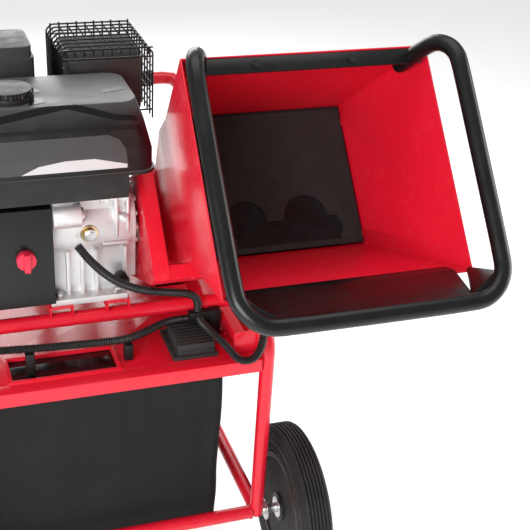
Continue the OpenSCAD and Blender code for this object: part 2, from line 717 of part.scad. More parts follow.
tank_x = [-274, 116];
tank_y = [-141, 44];
module fuel_tank() {
    in_engine() color(black) {
        difference() {
            union() {
                hull() {
                    for (x = [tank_x[0] + 30, tank_x[1] - 30], y = [tank_y[0] + 30, tank_y[1] - 30])
                        translate([x, y, 266]) cylinder(r = 30, h = 34, $fn = 32);
                    for (x = [tank_x[0] + 40, tank_x[1] - 44], y = [tank_y[0] + 36, tank_y[1] - 31])
                        translate([x, y, 340]) cylinder(r = 30, h = 14, $fn = 32);
                    for (x = [tank_x[0] + 46, tank_x[1] - 54], y = [tank_y[0] + 56, tank_y[1] - 34])
                        translate([x, y, 374]) cylinder(r = 30, h = 10, $fn = 32);
                }
                translate([tank_x[0] - 4, tank_y[0] - 4, 262])
                    rounded_box([tank_x[1] - tank_x[0] + 8, tank_y[1] - tank_y[0] + 8, 6], 30);
            }
            translate([-118, -62, 370]) cylinder(d = 50, h = 60);
        }
        translate([-60, -60, 212.4]) cube([30, 60, 52]);
        translate([tank_x[0], tank_y[0] + 3, 218]) cube([344, 5, 48]);
    }
}

module fuel_cap() {
    in_engine() color(black) translate([-118, -62, 384.4]) {
        cylinder(r = 42, h = 9);
        cylinder(r = 38, h = 18);
        for (a = [0:30:330]) rotate(a) translate([38, 0, 0]) cylinder(r = 4, h = 16);
        translate([0, 0, -8]) cylinder(d = 49.8, h = 9);
    }
}

module air_cleaner() {
    in_engine() color(black) {
        translate([-224, 72, 256]) rounded_box([172, 120, 150], 18);
        translate([-220, 76, 400]) rounded_box([164, 112, 26], 18);
        translate([-132, 132, 420]) cylinder(d = 26, h = 14);
    }
}

module carburettor() {
    in_engine() color(steel) {
        translate([-112, 142, 192]) cube([46, 44, 56]);
        translate([-89, 164, 168]) cylinder(d = 44, h = 26);
        translate([-66, 164, 220]) along_x(0, 20, 17);
    }
}

muffler_at = [-10, 50, 286];
muffler_size = [170, 172, 138];
module muffler() {
    in_engine() color("#2b2b2d") {
        translate([muffler_at[0] + 16, muffler_at[1] + 22, muffler_at[2] + 6]) rotate([90, 0, 90])
            linear_extrude(136) hull() for (y = [20, 98], z = [20, 100]) translate([y, z]) circle(20, $fn = 32);
        translate([muffler_at[0] + 99, muffler_at[1] + 60, muffler_at[2] - 68]) cylinder(d = 30, h = 80);
    }
}

// wire cage: square wires on the top and the four sides
module muffler_guard() {
    w = 3;
    s = muffler_size;
    rows = 6;
    in_engine() translate(muffler_at) color(black) {
        for (k = [0:rows]) {
            y = k * (s[1] - w) / rows;
            x = k * (s[0] - w) / rows;
            z = k * (s[2] - w) / rows;
            translate([0, y, s[2] - w]) cube([s[0], w, w]);
            for (e = [0, s[0] - w]) translate([e, y, 0]) cube([w, w, s[2]]);
            if (k > 0) for (e = [0, s[1] - w]) translate([0, e, z]) cube([s[0], w, w]);
            if (k > 0) for (e = [0, s[0] - w]) translate([e, 0, z]) cube([w, s[1], w]);
        }
    }
}

module starter_motor() {
    in_engine() color(steel) {
        translate([0, -116, 184]) along_x(-63.5, -14, 23);
        translate([0, -116, 184]) along_x(-14, -8, 12);
        translate([0, -108, 214]) along_x(-62, -26, 12);
    }
}

module oil_dipstick() {
    in_engine() color(black) translate([60, -98.4, 40]) rotate([90, 0, 0]) {
        cylinder(d = 26, h = 10);
        translate([-14, -3, 8]) cube([28, 6, 12]);
    }
}

// ---- controls ----
module throttle_lever() {
    in_engine() color(steel) translate([14, -100, 207]) rotate([90, 0, 0]) {
        cylinder(d = 12, h = 3);
        translate([-4, 0, 0]) cube([8, 34, 3]);
        color(black) translate([-7, 28, -1]) cube([14, 18, 6]);
    }
}

module choke_lever() {
    in_engine() color(black) translate([-100, 141.4, 236]) rotate([90, 0, 0]) {
        cylinder(d = 10, h = 4);
        translate([-30, -4, 0]) cube([32, 8, 4]);
    }
}

module engine_switch() {
    in_engine() color("#d01820") translate([-114, -125.4, 111]) rotate([90, 0, 0]) {
        cylinder(d = 34, h = 12);
        translate([-5, -17, 10]) cube([10, 34, 12]);
    }
}

// ---- electrics on the shelf ----
module regulator() {
    color(black) translate([101, 18, cover_top + gap]) {
        difference() {
            cube([86, 108, 6]);
            for (y = [10, 98]) translate([8, y, -1]) cylinder(d = 6.5, h = 10);
        }
        translate([10, 8, 5]) cube([72, 92, 8]);
        for (k = [0:8]) translate([10, 10 + k * 10.5, 12]) cube([72, 4, 14]);
    }
}

// switch on the right post that feels whether the hopper is shut
module safety_switch() {
    color(black) translate([px - 22, 2, deck_z + tr + gap]) {
        cube([30, 46, 26]);
        translate([8, 34, 26]) cube([14, 8, 5]);
    }
}

// plugs under the deck tube, and the clips that hold the conduits to the shelf
module cable_fittings() {
    color(black) {
        translate([190, 86, cover_top + gap]) cube([22, 18, 58]);
        translate([150, 88, 592]) cube([40, 16, 26]);
        translate([14, 42, cover_top + gap]) cube([16, 18, 32]);
        translate([-168, 36, cover_top + gap]) cube([16, 18, 44]);
    }
}

// corrugated tubes clipped along the deck and the shelf: their routes, point by point
conduit_d = 16;
route_engine = [[-62, 72, 796], [-40, 66, 764], [0, 70, 720], [50, 76, 690], [105, 80, 676],
    [146, 86, 666], [165, 94, 648], [168, 96, 632], [168, 96, 618.6]];
route_shelf = [[-230, 44, 620], [-180, 44, 616], [-110, 44, 612], [-40, 46, 608], [20, 50, 604],
    [62, 70, 603], [100, 92, 604], [124, 96, 605], [149.4, 96, 605]];
route_loop = [[170, 87.4, 604], [170, 72, 604], [177, 46, 603], [199, 8, 590], [214, -24, 573],
    [238, -36, 578], [252, -37, 602], [256, -36, 630], [264, -24, 649], [268, -10, 650], [268, 1.4, 650]];

module wiring_conduits() {
    color(black) for (route = [route_engine, route_shelf, route_loop]) sweep(smooth(route, 2), conduit_d, 10);
}

// bolts that hold the engine to its rails, and the handle to the rear posts
module frame_bolts() {
    in_engine() color(zinc) for (x = [-1, 1], y = [-1, 1])
        translate([x * bolt_x / 2, y * bolt_y / 2, -14]) hex_bolt(9.6, 15, 27.8);
    color(zinc) for (s = [-1, 1], z = [deck_z - 90, deck_z - 40])
        translate([s * px, frame_l - tr - 6, z]) rotate([-90, 0, 0]) hex_bolt(8, 13, 2 * tube_d + 8);
}

module placed() {
    translate([-middle[0], -middle[1], 0]) children();
}

placed() side_frame_right();
placed() side_frame_left();
placed() axle_tube();
placed() cross_tubes();
placed() shelf_rail();
placed() engine_rails();
placed() hopper_bracket();
placed() push_handle();
placed() handle_grips();
placed() rubber_feet();
placed() bag_cover();
placed() bag_window();
placed() collection_bag();
placed() bag_hooks();
placed() axle_shaft();
placed() tyre_right();
placed() rim_right();
placed() tyre_left();
placed() rim_left();
placed() hub_caps();
placed() cutting_chamber();
placed() chamber_lid();
placed() discharge_chute();
placed() cutting_drum();
placed() drum_knives();
placed() anvil_knife();
placed() drum_bearings();
placed() belt_guard();
placed() crank_pulley();
placed() drum_pulley();
placed() drive_belt();
placed() hopper_shell();
placed() hopper_hinge_pin();
placed() hopper_latch();
placed() rubber_curtain();
placed() guard_bar();
placed() hopper_trim();
placed() hopper_bolts();
placed() engine_block();
placed() engine_cover();
placed() cylinder_fins();
placed() fan_shroud();
placed() recoil_starter();
placed() recoil_handle();
placed() fuel_tank();
placed() fuel_cap();
placed() air_cleaner();
placed() carburettor();
placed() muffler();
placed() muffler_guard();
placed() starter_motor();
placed() oil_dipstick();
placed() throttle_lever();
placed() choke_lever();
placed() engine_switch();
placed() regulator();
placed() safety_switch();
placed() cable_fittings();
placed() wiring_conduits();
placed() frame_bolts();
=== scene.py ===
import json
import math

import bmesh
import bpy
from mathutils import Matrix, Vector, noise
from mathutils.bvhtree import BVHTree

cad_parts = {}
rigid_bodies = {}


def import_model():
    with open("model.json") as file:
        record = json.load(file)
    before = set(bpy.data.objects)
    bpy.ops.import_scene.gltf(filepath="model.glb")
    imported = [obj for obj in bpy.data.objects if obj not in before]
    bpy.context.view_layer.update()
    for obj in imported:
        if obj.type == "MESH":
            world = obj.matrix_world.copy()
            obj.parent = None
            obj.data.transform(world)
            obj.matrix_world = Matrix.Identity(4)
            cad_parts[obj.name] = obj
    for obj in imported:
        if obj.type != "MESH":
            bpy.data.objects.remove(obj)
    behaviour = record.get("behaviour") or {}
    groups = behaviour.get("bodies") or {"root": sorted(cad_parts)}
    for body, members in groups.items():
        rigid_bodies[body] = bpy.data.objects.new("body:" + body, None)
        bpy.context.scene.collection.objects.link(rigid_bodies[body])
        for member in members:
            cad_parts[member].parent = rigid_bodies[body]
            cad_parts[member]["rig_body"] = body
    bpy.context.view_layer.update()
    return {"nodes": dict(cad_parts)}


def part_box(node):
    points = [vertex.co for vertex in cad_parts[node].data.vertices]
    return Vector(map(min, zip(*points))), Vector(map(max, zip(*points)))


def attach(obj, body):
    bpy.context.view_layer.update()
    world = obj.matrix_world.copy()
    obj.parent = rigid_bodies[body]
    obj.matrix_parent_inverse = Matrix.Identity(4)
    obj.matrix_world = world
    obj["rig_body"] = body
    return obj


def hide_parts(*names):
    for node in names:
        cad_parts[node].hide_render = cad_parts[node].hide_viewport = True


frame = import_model()

# ---- Camera, floor and studio lights ----
# The camera stands to the left of the feed side, above the engine, and looks down into the hopper.
# A pale floor and three large soft lights make an even studio.
TUBE = 0.028
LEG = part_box("side_frame_right")
# the trolley's own origin: on the ground, midway between the two front posts
ORIGIN = Vector(((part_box("side_frame_left")[0].x + LEG[1].x) / 2, LEG[0].y + TUBE / 2, 0))
STUDIO_WHITE = (0.93, 0.93, 0.94, 1)


def on_trolley(x, y, z):
    """A point given from the trolley's own origin, in the row frame."""
    return ORIGIN + Vector((x, y, z))


def stand(thing, place, look_down, look_right, roll=0.0):
    """Puts a camera or light at a place, looking along +Y turned right and down."""
    turn = Matrix.Rotation(-math.radians(look_right), 4, "Z")
    tilt = Matrix.Rotation(math.radians(90 - look_down), 4, "X")
    thing.matrix_world = Matrix.Translation(place) @ turn @ tilt @ Matrix.Rotation(math.radians(roll), 4, "Z")
    bpy.context.scene.collection.objects.link(thing)


lens = bpy.data.cameras.new("camera")
lens.lens = 73.17
lens.shift_x = 0.057
lens.shift_y = 0.104
lens.clip_end = 50
camera = bpy.data.objects.new("camera", lens)
stand(camera, on_trolley(-0.349, -1.598, 1.674), 31.21, 19.3, 2.99)
bpy.context.scene.camera = camera


def soft_light(name, place, look_down, look_right, width, height, watts):
    """One rectangular soft box."""
    lamp = bpy.data.lights.new(name, "AREA")
    lamp.shape = "RECTANGLE"
    lamp.size = width
    lamp.size_y = height
    lamp.energy = watts
    stand(bpy.data.objects.new(name, lamp), place, look_down, look_right)


soft_light("key_light", Vector((-1.5, -2.1, 1.5)), 18, 38, 1.6, 1.2, 64)
soft_light("top_light", Vector((0.1, 0.1, 2.9)), 88, 0, 2.4, 1.6, 22)
soft_light("right_light", Vector((2.4, -0.4, 1.2)), 12, -82, 1.0, 1.8, 26)
soft_light("back_light", Vector((0.3, 2.9, 1.9)), 34, 178, 2.0, 1.4, 40)


class Wire:
    """A socket of a node tree, or a plain tree. Sums on it add Math nodes to the same tree."""

    def __init__(self, tree, socket=None):
        self.tree = tree
        self.socket = socket

    def add(self, kind, settings=None, inputs=None, output=0):
        """One node of any kind: its settings come first, then its sockets' values and links."""
        made = self.tree.nodes.new(kind)
        for name, value in (settings or {}).items():
            if name == "stops":
                stops = made.color_ramp.elements
                for extra in range(len(value) - 2):
                    stops.new(0.5)
                for stop, (place, colour) in zip(stops, value):
                    stop.position = place
                    stop.color = colour
            else:
                setattr(made, name, value)
        for name, value in (inputs or {}).items():
            if isinstance(value, Wire):
                self.tree.links.new(value.socket, made.inputs[name])
            else:
                made.inputs[name].default_value = value
        return Wire(self.tree, made.outputs[output])

    def out(self, output):
        """Another output of the same node."""
        return Wire(self.tree, self.socket.node.outputs[output])

    def math(self, operation, *values):
        return self.add("ShaderNodeMath", {"operation": operation}, dict(enumerate(values)))

    def __add__(self, other):
        return self.math("ADD", self, other)

    __radd__ = __add__

    def __sub__(self, other):
        return self.math("SUBTRACT", self, other)

    def __rsub__(self, other):
        return self.math("SUBTRACT", other, self)

    def __mul__(self, other):
        return self.math("MULTIPLY", self, other)

    __rmul__ = __mul__


def grey(level):
    """An even grey as a colour."""
    return (level, level, level, 1)


def blank_material(name):
    """A new material's tree as a Wire, its shader and the Object coordinates of the piece."""
    material = bpy.data.materials.new(name)
    material.use_nodes = True
    tree = Wire(material.node_tree)
    shader = material.node_tree.nodes["Principled BSDF"]
    here = tree.add("ShaderNodeTexCoord").out("Object")
    return material, tree, shader, here


def mottle(tree, here, scale, detail=3.0, low=0.35, high=0.65):
    """Soft cloudy noise from 0 to 1."""
    cloud = tree.add("ShaderNodeTexNoise", None, {"Vector": here, "Scale": scale, "Detail": detail})
    limits = {"Value": cloud, "From Min": low, "From Max": high}
    return tree.add("ShaderNodeMapRange", {"clamp": True}, limits)


def between(tree, share, first, second):
    """The mix of two colours by a share."""
    sides = {"Factor": share, 6: first, 7: second}
    return tree.add("ShaderNodeMix", {"data_type": "RGBA"}, sides, 2)


def plug(tree, shader, socket, value):
    """Wires a value into one of the shader's sockets."""
    tree.tree.links.new(value.socket, shader.inputs[socket])


def bumped(tree, shader, height, strength, distance):
    """Gives the shader a bump of that height map."""
    bump = tree.add("ShaderNodeBump", None, {"Height": height, "Strength": strength, "Distance": distance})
    plug(tree, shader, "Normal", bump)


def floor_finish():
    """Seamless matt paper."""
    material, tree, shader, here = blank_material("studio_floor")
    plug(tree, shader, "Base Color", between(tree, mottle(tree, here, 0.6), grey(0.90), grey(0.92)))
    shader.inputs["Roughness"].default_value = 0.7
    shader.inputs["Emission Color"].default_value = grey(1.0)
    shader.inputs["Emission Strength"].default_value = 0.42
    return material


floor_mesh = bpy.data.meshes.new("studio_floor")
floor_mesh.from_pydata([(-9, -9, 0), (9, -9, 0), (9, 9, 0), (-9, 9, 0)], [], [(0, 1, 2, 3)])
floor_mesh.materials.append(floor_finish())
floor = bpy.data.objects.new("studio_floor", floor_mesh)
bpy.context.scene.collection.objects.link(floor)
bpy.context.scene.view_settings.view_transform = "Standard"
world = bpy.data.worlds.new("studio")
world.use_nodes = True
world.node_tree.nodes["Background"].inputs["Color"].default_value = STUDIO_WHITE
world.node_tree.nodes["Background"].inputs["Strength"].default_value = 0.42
bpy.context.scene.world = world


# ---- Trolley frame ----
# Bent steel tube, welded and powder coated in glossy red. The wheels' axle runs through its front corners,
# and the rear posts stand on two rubber feet.


def rounded_copy(node, width=0.0008, segments=2, sharp=25):
    """A copy of a CAD node with small rounded edges, which stands in for it."""
    source = frame["nodes"][node].data
    work = bmesh.new()
    work.from_mesh(source)
    bmesh.ops.remove_doubles(work, verts=work.verts, dist=0.00002)
    bmesh.ops.dissolve_limit(work, angle_limit=math.radians(0.6), verts=work.verts, edges=work.edges)
    work.normal_update()
    mesh = bpy.data.meshes.new(node + "_rounded")
    work.to_mesh(mesh)
    work.free()
    piece = bpy.data.objects.new(node + "_rounded", mesh)
    bpy.context.scene.collection.objects.link(piece)
    bevel = piece.modifiers.new("edges", "BEVEL")
    bevel.width = width
    bevel.segments = segments
    bevel.limit_method = "ANGLE"
    bevel.angle_limit = math.radians(sharp)
    bevel.use_clamp_overlap = True
    bevel.miter_outer = "MITER_ARC"
    settle(piece, 32)
    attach(piece, frame["nodes"][node]["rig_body"])
    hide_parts(node)
    return piece


def settle(piece, smooth_angle=None):
    """Applies a piece's modifiers, so that what is left is a plain mesh."""
    view = bpy.context.evaluated_depsgraph_get()
    done = bpy.data.meshes.new_from_object(piece.evaluated_get(view))
    piece.modifiers.clear()
    piece.data = done
    piece.data.name = piece.name
    if smooth_angle:
        piece.data.shade_smooth()
        piece.data.set_sharp_from_angle(angle=math.radians(smooth_angle))
    return piece


def finish_with(piece, material):
    """One material all over a piece."""
    piece.data.materials.clear()
    piece.data.materials.append(material)
    return piece


def red_powder_coat():
    """Glossy red powder coat: faint dust and darker scuffs."""
    material, tree, shader, here = blank_material("red_powder_coat")
    shade = between(tree, mottle(tree, here, 3.5), (0.66, 0.008, 0.026, 1), (0.72, 0.011, 0.030, 1))
    dust = mottle(tree, here, 38, 6, 0.56, 0.8)
    plug(tree, shader, "Base Color", between(tree, dust * 0.10, shade, (0.80, 0.10, 0.10, 1)))
    plug(tree, shader, "Roughness", 0.26 + mottle(tree, here, 4, 2) * 0.03 + dust * 0.04)
    shader.inputs["Specular IOR Level"].default_value = 0.42
    shader.inputs["Coat Weight"].default_value = 0.12
    shader.inputs["Coat Roughness"].default_value = 0.10
    return material


red_coat = red_powder_coat()
for name in ("side_frame_right", "side_frame_left", "axle_tube", "cross_tubes", "push_handle"):
    frame["nodes"][name].data.shade_smooth()
    frame["nodes"][name].data.set_sharp_from_angle(angle=math.radians(40))
    finish_with(frame["nodes"][name], red_coat)
for name, radius in (("shelf_rail", 0.0022), ("engine_rails", 0.0012), ("hopper_bracket", 0.0012)):
    finish_with(rounded_copy(name, radius, 3), red_coat)


def weld_bead(name, centre, axis, radius, body="root"):
    """A bead of weld round the end of a tube: a ring of small overlapping scales."""
    scales = 44
    sides = 8
    to_axis = Vector(axis).to_track_quat("Z", "Y").to_matrix()
    mesh = bmesh.new()
    rings = []
    for k in range(scales * 2):
        turn = math.tau * k / (scales * 2)
        thick = 0.0019 if k % 2 else 0.0024
        out = Vector((math.cos(turn), math.sin(turn), 0))
        ring = []
        for s in range(sides):
            a = math.tau * s / sides
            local = out * (radius + thick * math.cos(a)) + Vector((0, 0, thick * math.sin(a)))
            ring.append(mesh.verts.new(centre + to_axis @ local))
        rings.append(ring)
    for k, ring in enumerate(rings):
        after = rings[(k + 1) % len(rings)]
        for s in range(sides):
            mesh.faces.new((ring[s], ring[(s + 1) % sides], after[(s + 1) % sides], after[s]))
    bmesh.ops.recalc_face_normals(mesh, faces=mesh.faces)
    data = bpy.data.meshes.new(name)
    mesh.to_mesh(data)
    mesh.free()
    data.shade_smooth()
    piece = bpy.data.objects.new(name, data)
    bpy.context.scene.collection.objects.link(piece)
    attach(piece, body)
    return piece


AXLE_Z = (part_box("axle_tube")[0].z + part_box("axle_tube")[1].z) / 2
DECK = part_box("cross_tubes")
DECK_Z = DECK[1].z - TUBE / 2
DECK_Y = DECK[0].y + TUBE / 2
POST_X = LEG[0].x + TUBE / 2 - ORIGIN.x
INSIDE = POST_X - TUBE / 2
for side, name in ((1, "right"), (-1, "left")):
    joints = (("axle", 0, AXLE_Z), ("deck", DECK_Y - ORIGIN.y, DECK_Z))
    for place, y, z in joints:
        centre = on_trolley(side * INSIDE, y, z)
        bead = weld_bead(f"weld_{place}_{name}", centre, (1, 0, 0), TUBE / 2 - 0.0004)
        finish_with(bead, red_coat)

# ---- Feet and grips ----
# Moulded black rubber: two cone-shaped feet under the rear posts, two ribbed sleeves on the handle.


def soft_rubber(name="soft_rubber", low=0.010, high=0.017):
    """Matt moulded rubber with a fine grain."""
    material, tree, shader, here = blank_material(name)
    plug(tree, shader, "Base Color", between(tree, mottle(tree, here, 9), grey(low), grey(high)))
    plug(tree, shader, "Roughness", 0.52 + mottle(tree, here, 60, 5) * 0.2)
    shader.inputs["Specular IOR Level"].default_value = 0.3
    grain = tree.add("ShaderNodeTexNoise", None, {"Vector": here, "Scale": 900.0, "Detail": 4.0})
    bumped(tree, shader, grain, 0.25, 0.0006)
    return material


def turned(name, centre, axis, outline, sides=64, body="root"):
    """A piece turned about an axis. The outline is (distance along the axis, radius) from end to end."""
    to_axis = Vector(axis).to_track_quat("Z", "Y").to_matrix()
    mesh = bmesh.new()
    rings = []
    for along, radius in outline:
        steps = [math.tau * s / sides for s in range(sides)]
        spots = [Vector((radius * math.cos(a), radius * math.sin(a), along)) for a in steps]
        rings.append([mesh.verts.new(centre + to_axis @ spot) for spot in spots])
    for ring, after in zip(rings, rings[1:]):
        for s in range(sides):
            mesh.faces.new((ring[s], ring[(s + 1) % sides], after[(s + 1) % sides], after[s]))
    mesh.faces.new(rings[0])
    mesh.faces.new(rings[-1])
    bmesh.ops.recalc_face_normals(mesh, faces=mesh.faces)
    data = bpy.data.meshes.new(name)
    mesh.to_mesh(data)
    mesh.free()
    data.shade_smooth()
    data.set_sharp_from_angle(angle=math.radians(35))
    piece = bpy.data.objects.new(name, data)
    bpy.context.scene.collection.objects.link(piece)
    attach(piece, body)
    return piece


rubber = soft_rubber()
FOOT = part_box("rubber_feet")
foot_y = (FOOT[0].y + FOOT[1].y) / 2
foot_shape = [(0, 0.0235), (0.002, 0.0265), (0.008, 0.0268), (0.012, 0.0243), (0.014, 0.0243), (0.024, 0.0225)]
foot_shape += [(0.0285, 0.0215), (0.0296, 0.0195)]
for side, name in ((1, "right"), (-1, "left")):
    foot = turned("foot_" + name, Vector((ORIGIN.x + side * POST_X, foot_y, 0)), (0, 0, 1), foot_shape)
    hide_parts("rubber_feet")
    finish_with(foot, rubber)

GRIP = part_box("handle_grips")
grip_y, grip_z = (GRIP[0].y + GRIP[1].y) / 2, (GRIP[0].z + GRIP[1].z) / 2
GRIP_LENGTH = 0.14
RIBS = 15
grip_shape = [(-GRIP_LENGTH / 2, 0.0148), (-GRIP_LENGTH / 2, 0.0178)]
for k in range(RIBS):
    start = -GRIP_LENGTH / 2 + 0.004 + k * (GRIP_LENGTH - 0.008) / RIBS
    step = (GRIP_LENGTH - 0.008) / RIBS
    grip_shape += [(start + 0.08 * step, 0.0164), (start + 0.25 * step, 0.0178), (start + 0.8 * step, 0.0178)]
    grip_shape += [(start + 0.95 * step, 0.0164)]
grip_shape += [(GRIP_LENGTH / 2, 0.0178), (GRIP_LENGTH / 2, 0.0148)]
for side, name in ((1, "right"), (-1, "left")):
    centre = Vector((ORIGIN.x + side * (GRIP[1].x - GRIP[0].x - GRIP_LENGTH) / 2, grip_y, grip_z))
    grip = turned("grip_" + name, centre, (1, 0, 0), grip_shape, 40)
    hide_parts("handle_grips")
    finish_with(grip, rubber)

# ---- Bag cover, window and hooks ----
# A folded sheet lid over the bag, painted red, with a raised frame round a smoked plastic window.
# Eight bent wire hooks under it hold the bag's hem.
finish_with(rounded_copy("bag_cover", 0.0012, 3), red_coat)


def smoked_plastic():
    """Dark see-through plastic, here nearly black, with wiped dust on it."""
    material, tree, shader, here = blank_material("smoked_plastic")
    dust = mottle(tree, here, 24, 6, 0.5, 0.85)
    plug(tree, shader, "Base Color", between(tree, dust * 0.35, grey(0.006), grey(0.07)))
    plug(tree, shader, "Roughness", 0.12 + dust * 0.4)
    shader.inputs["Specular IOR Level"].default_value = 0.35
    return material


def zinc_plate():
    """Bright zinc plating with faint cloudy passivation."""
    material, tree, shader, here = blank_material("zinc_plate")
    tint = between(tree, mottle(tree, here, 90), (0.60, 0.62, 0.66, 1), (0.74, 0.73, 0.68, 1))
    plug(tree, shader, "Base Color", tint)
    plug(tree, shader, "Roughness", 0.24 + mottle(tree, here, 160, 4) * 0.2)
    shader.inputs["Metallic"].default_value = 1.0
    return material


zinc = zinc_plate()
finish_with(rounded_copy("bag_window", 0.0004), smoked_plastic())
finish_with(rounded_copy("bag_hooks", 0.0004), zinc)

# ---- Collection bag ----
# Woven black polyester sewn into an open-topped bag: four walls, a base, welted corner seams and a
# folded hem that hangs on the hooks. It sags and ripples between them.
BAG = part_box("collection_bag")
BAG_CORNER = 0.022
BAG_INSET = 0.006
bag_low = BAG[0] + Vector((BAG_INSET, BAG_INSET, 0.012))
bag_high = BAG[1] - Vector((BAG_INSET, BAG_INSET, 0.0))
CLOTH_STEP = 0.0125


def rounded_rectangle(low, high, radius, step):
    """Points round a rectangle with round corners, evenly spaced, with the walk so far at each."""
    corners = ((high.x, high.y, 0), (low.x, high.y, 90), (low.x, low.y, 180), (high.x, low.y, 270))
    track = []
    for x, y, start in corners:
        middle = Vector((x + radius * (1 if x == low.x else -1), y + radius * (1 if y == low.y else -1)))
        for a in range(start, start + 91, 15):
            t = math.radians(a)
            track.append(middle + radius * Vector((math.cos(t), math.sin(t))))
    track.append(track[0])
    spots = []
    walked = 0.0
    for a, b in zip(track, track[1:]):
        count = max(1, round((b - a).length / step))
        for k in range(count):
            spots.append((a.lerp(b, k / count), walked + (b - a).length * k / count))
        walked += (b - a).length
    return spots


def woven_bag():
    """The bag before it sags: walls from the hem down, then the base in shrinking rounds."""
    spots = rounded_rectangle(bag_low, bag_high, BAG_CORNER, CLOTH_STEP)
    middle = (bag_low + bag_high) / 2
    height = bag_high.z - bag_low.z
    rows = round(height / CLOTH_STEP)
    mesh = bmesh.new()
    weave = mesh.loops.layers.uv.new("cloth")
    rounds = []
    for row in range(rows + 1):
        down = row / rows
        ring = []
        for spot, walked in spots:
            # soft upright folds that the hooks start and the weight of the base pulls out
            wave = math.sin(walked * 34 + 1.7 * math.sin(walked * 9))
            wave += 0.6 * math.sin(walked * 71 + down * 2.1)
            drift = noise.noise(Vector((spot.x * 6, spot.y * 6, down * 2.4)))
            pull = 0.0009 * wave * (1 - 0.55 * down) + 0.012 * drift * math.sin(math.pi * min(1, down * 1.1))
            inward = (middle.xy - spot).normalized() * (0.003 + pull)
            ring.append(mesh.verts.new((*(spot + inward), bag_high.z - height * down)))
        rounds.append(ring)
    for k in range(1, 16):
        share = 1 - k / 16
        sag = 0.006 * math.sin(math.pi * (1 - share) / 2)
        inner = [middle.xy.lerp(v.co.xy, share) for v in rounds[rows]]
        rounds.append([mesh.verts.new((*spot, bag_low.z - sag)) for spot in inner])
    last = len(spots)
    for down, (ring, below) in enumerate(zip(rounds, rounds[1:])):
        for k in range(last):
            face = mesh.faces.new((ring[k], below[k], below[(k + 1) % last], ring[(k + 1) % last]))
            start, end = spots[k][1], spots[k + 1][1] if k + 1 < last else spots[k][1] + CLOTH_STEP
            marks = ((start, down), (start, down + 1), (end, down + 1), (end, down))
            for loop, (across, along) in zip(face.loops, marks):
                loop[weave].uv = (across, -along * CLOTH_STEP)
    hub = mesh.verts.new((middle.x, middle.y, bag_low.z - 0.006))
    for k in range(last):
        mesh.faces.new((rounds[-1][k], hub, rounds[-1][(k + 1) % last]))
    mesh.normal_update()
    data = bpy.data.meshes.new("bag_cloth")
    mesh.to_mesh(data)
    mesh.free()
    bag = bpy.data.objects.new("bag_cloth", data)
    bpy.context.scene.collection.objects.link(bag)
    return bag, last


def sag(bag, last, most=0.008, frames=22):
    """Lets the cloth hang from its hem under its own weight, and caps how far a point may move."""
    start = [v.co.copy() for v in bag.data.vertices]
    held = bag.vertex_groups.new(name="hem")
    held.add(list(range(last * 2)), 1.0, "REPLACE")
    cloth = bag.modifiers.new("cloth", "CLOTH")
    cloth.settings.quality = 6
    cloth.settings.mass = 0.35
    cloth.settings.tension_stiffness = 22
    cloth.settings.bending_stiffness = 0.6
    cloth.settings.vertex_group_mass = "hem"
    cloth.settings.shrink_min = -0.035
    cloth.settings.use_pressure = True
    cloth.settings.uniform_pressure_force = 0.25
    cloth.collision_settings.use_collision = False
    scene = bpy.context.scene
    for count in range(1, frames + 1):
        scene.frame_set(count)
    settle(bag)
    scene.frame_set(1)
    for vertex, before in zip(bag.data.vertices, start):
        move = vertex.co - before
        if move.length > most:
            vertex.co = before + move.normalized() * most
        vertex.co.x = min(max(vertex.co.x, BAG[0].x - 0.002), BAG[1].x + 0.006)
        vertex.co.y = min(max(vertex.co.y, BAG[0].y - 0.003), BAG[1].y + 0.006)
    bag.vertex_groups.clear()


def polyester_weave():
    """Plain weave in black yarn on the cloth's own map, with slubs and a grey bloom of dust."""
    material, tree, shader, here = blank_material("polyester_weave")
    cloth = tree.add("ShaderNodeUVMap", {"uv_map": "cloth"})
    parts = tree.add("ShaderNodeSeparateXYZ", None, {"Vector": cloth})
    yarn = math.tau / 0.0026
    warp = parts.math("SINE", parts.out("X") * yarn)
    weft = parts.math("SINE", parts.out("Y") * yarn)
    cross = warp * weft
    fuzz = tree.add("ShaderNodeTexNoise", None, {"Vector": here, "Scale": 700.0, "Detail": 5.0})
    bloom = mottle(tree, here, 7, 5, 0.4, 0.75)
    tone = between(tree, 0.5 + cross * 0.5, grey(0.004), grey(0.010))
    plug(tree, shader, "Base Color", between(tree, bloom * 0.4, tone, grey(0.015)))
    plug(tree, shader, "Roughness", 0.62 + fuzz * 0.2)
    shader.inputs["Specular IOR Level"].default_value = 0.25
    shader.inputs["Sheen Weight"].default_value = 0.06
    shader.inputs["Sheen Roughness"].default_value = 0.4
    bumped(tree, shader, cross * 0.5 + fuzz * 0.6, 0.35, 0.0009)
    return material


bag, hem_points = woven_bag()
sag(bag, hem_points)
thick = bag.modifiers.new("thickness", "SOLIDIFY")
thick.thickness = 0.0016
thick.offset = -1
smoother = bag.modifiers.new("smooth", "SUBSURF")
smoother.levels = 1
smoother.render_levels = 1
seam_columns = []
ring_spots = rounded_rectangle(bag_low, bag_high, BAG_CORNER, CLOTH_STEP)
wall_rows = round((bag_high.z - bag_low.z) / CLOTH_STEP)
cloth_points = [v.co.copy() for v in bag.data.vertices]
for k, (spot, walked) in enumerate(ring_spots):
    near_side = min(abs(spot.x - bag_low.x), abs(spot.x - bag_high.x))
    front_back = min(abs(spot.y - bag_low.y), abs(spot.y - bag_high.y))
    if abs(near_side - front_back) < 0.0022:
        seam_columns.append([cloth_points[row * hem_points + k] for row in range(wall_rows + 1)])
settle(bag)
bag.data.shade_smooth()
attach(bag, "root")
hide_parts("collection_bag")
weave_finish = polyester_weave()
finish_with(bag, weave_finish)


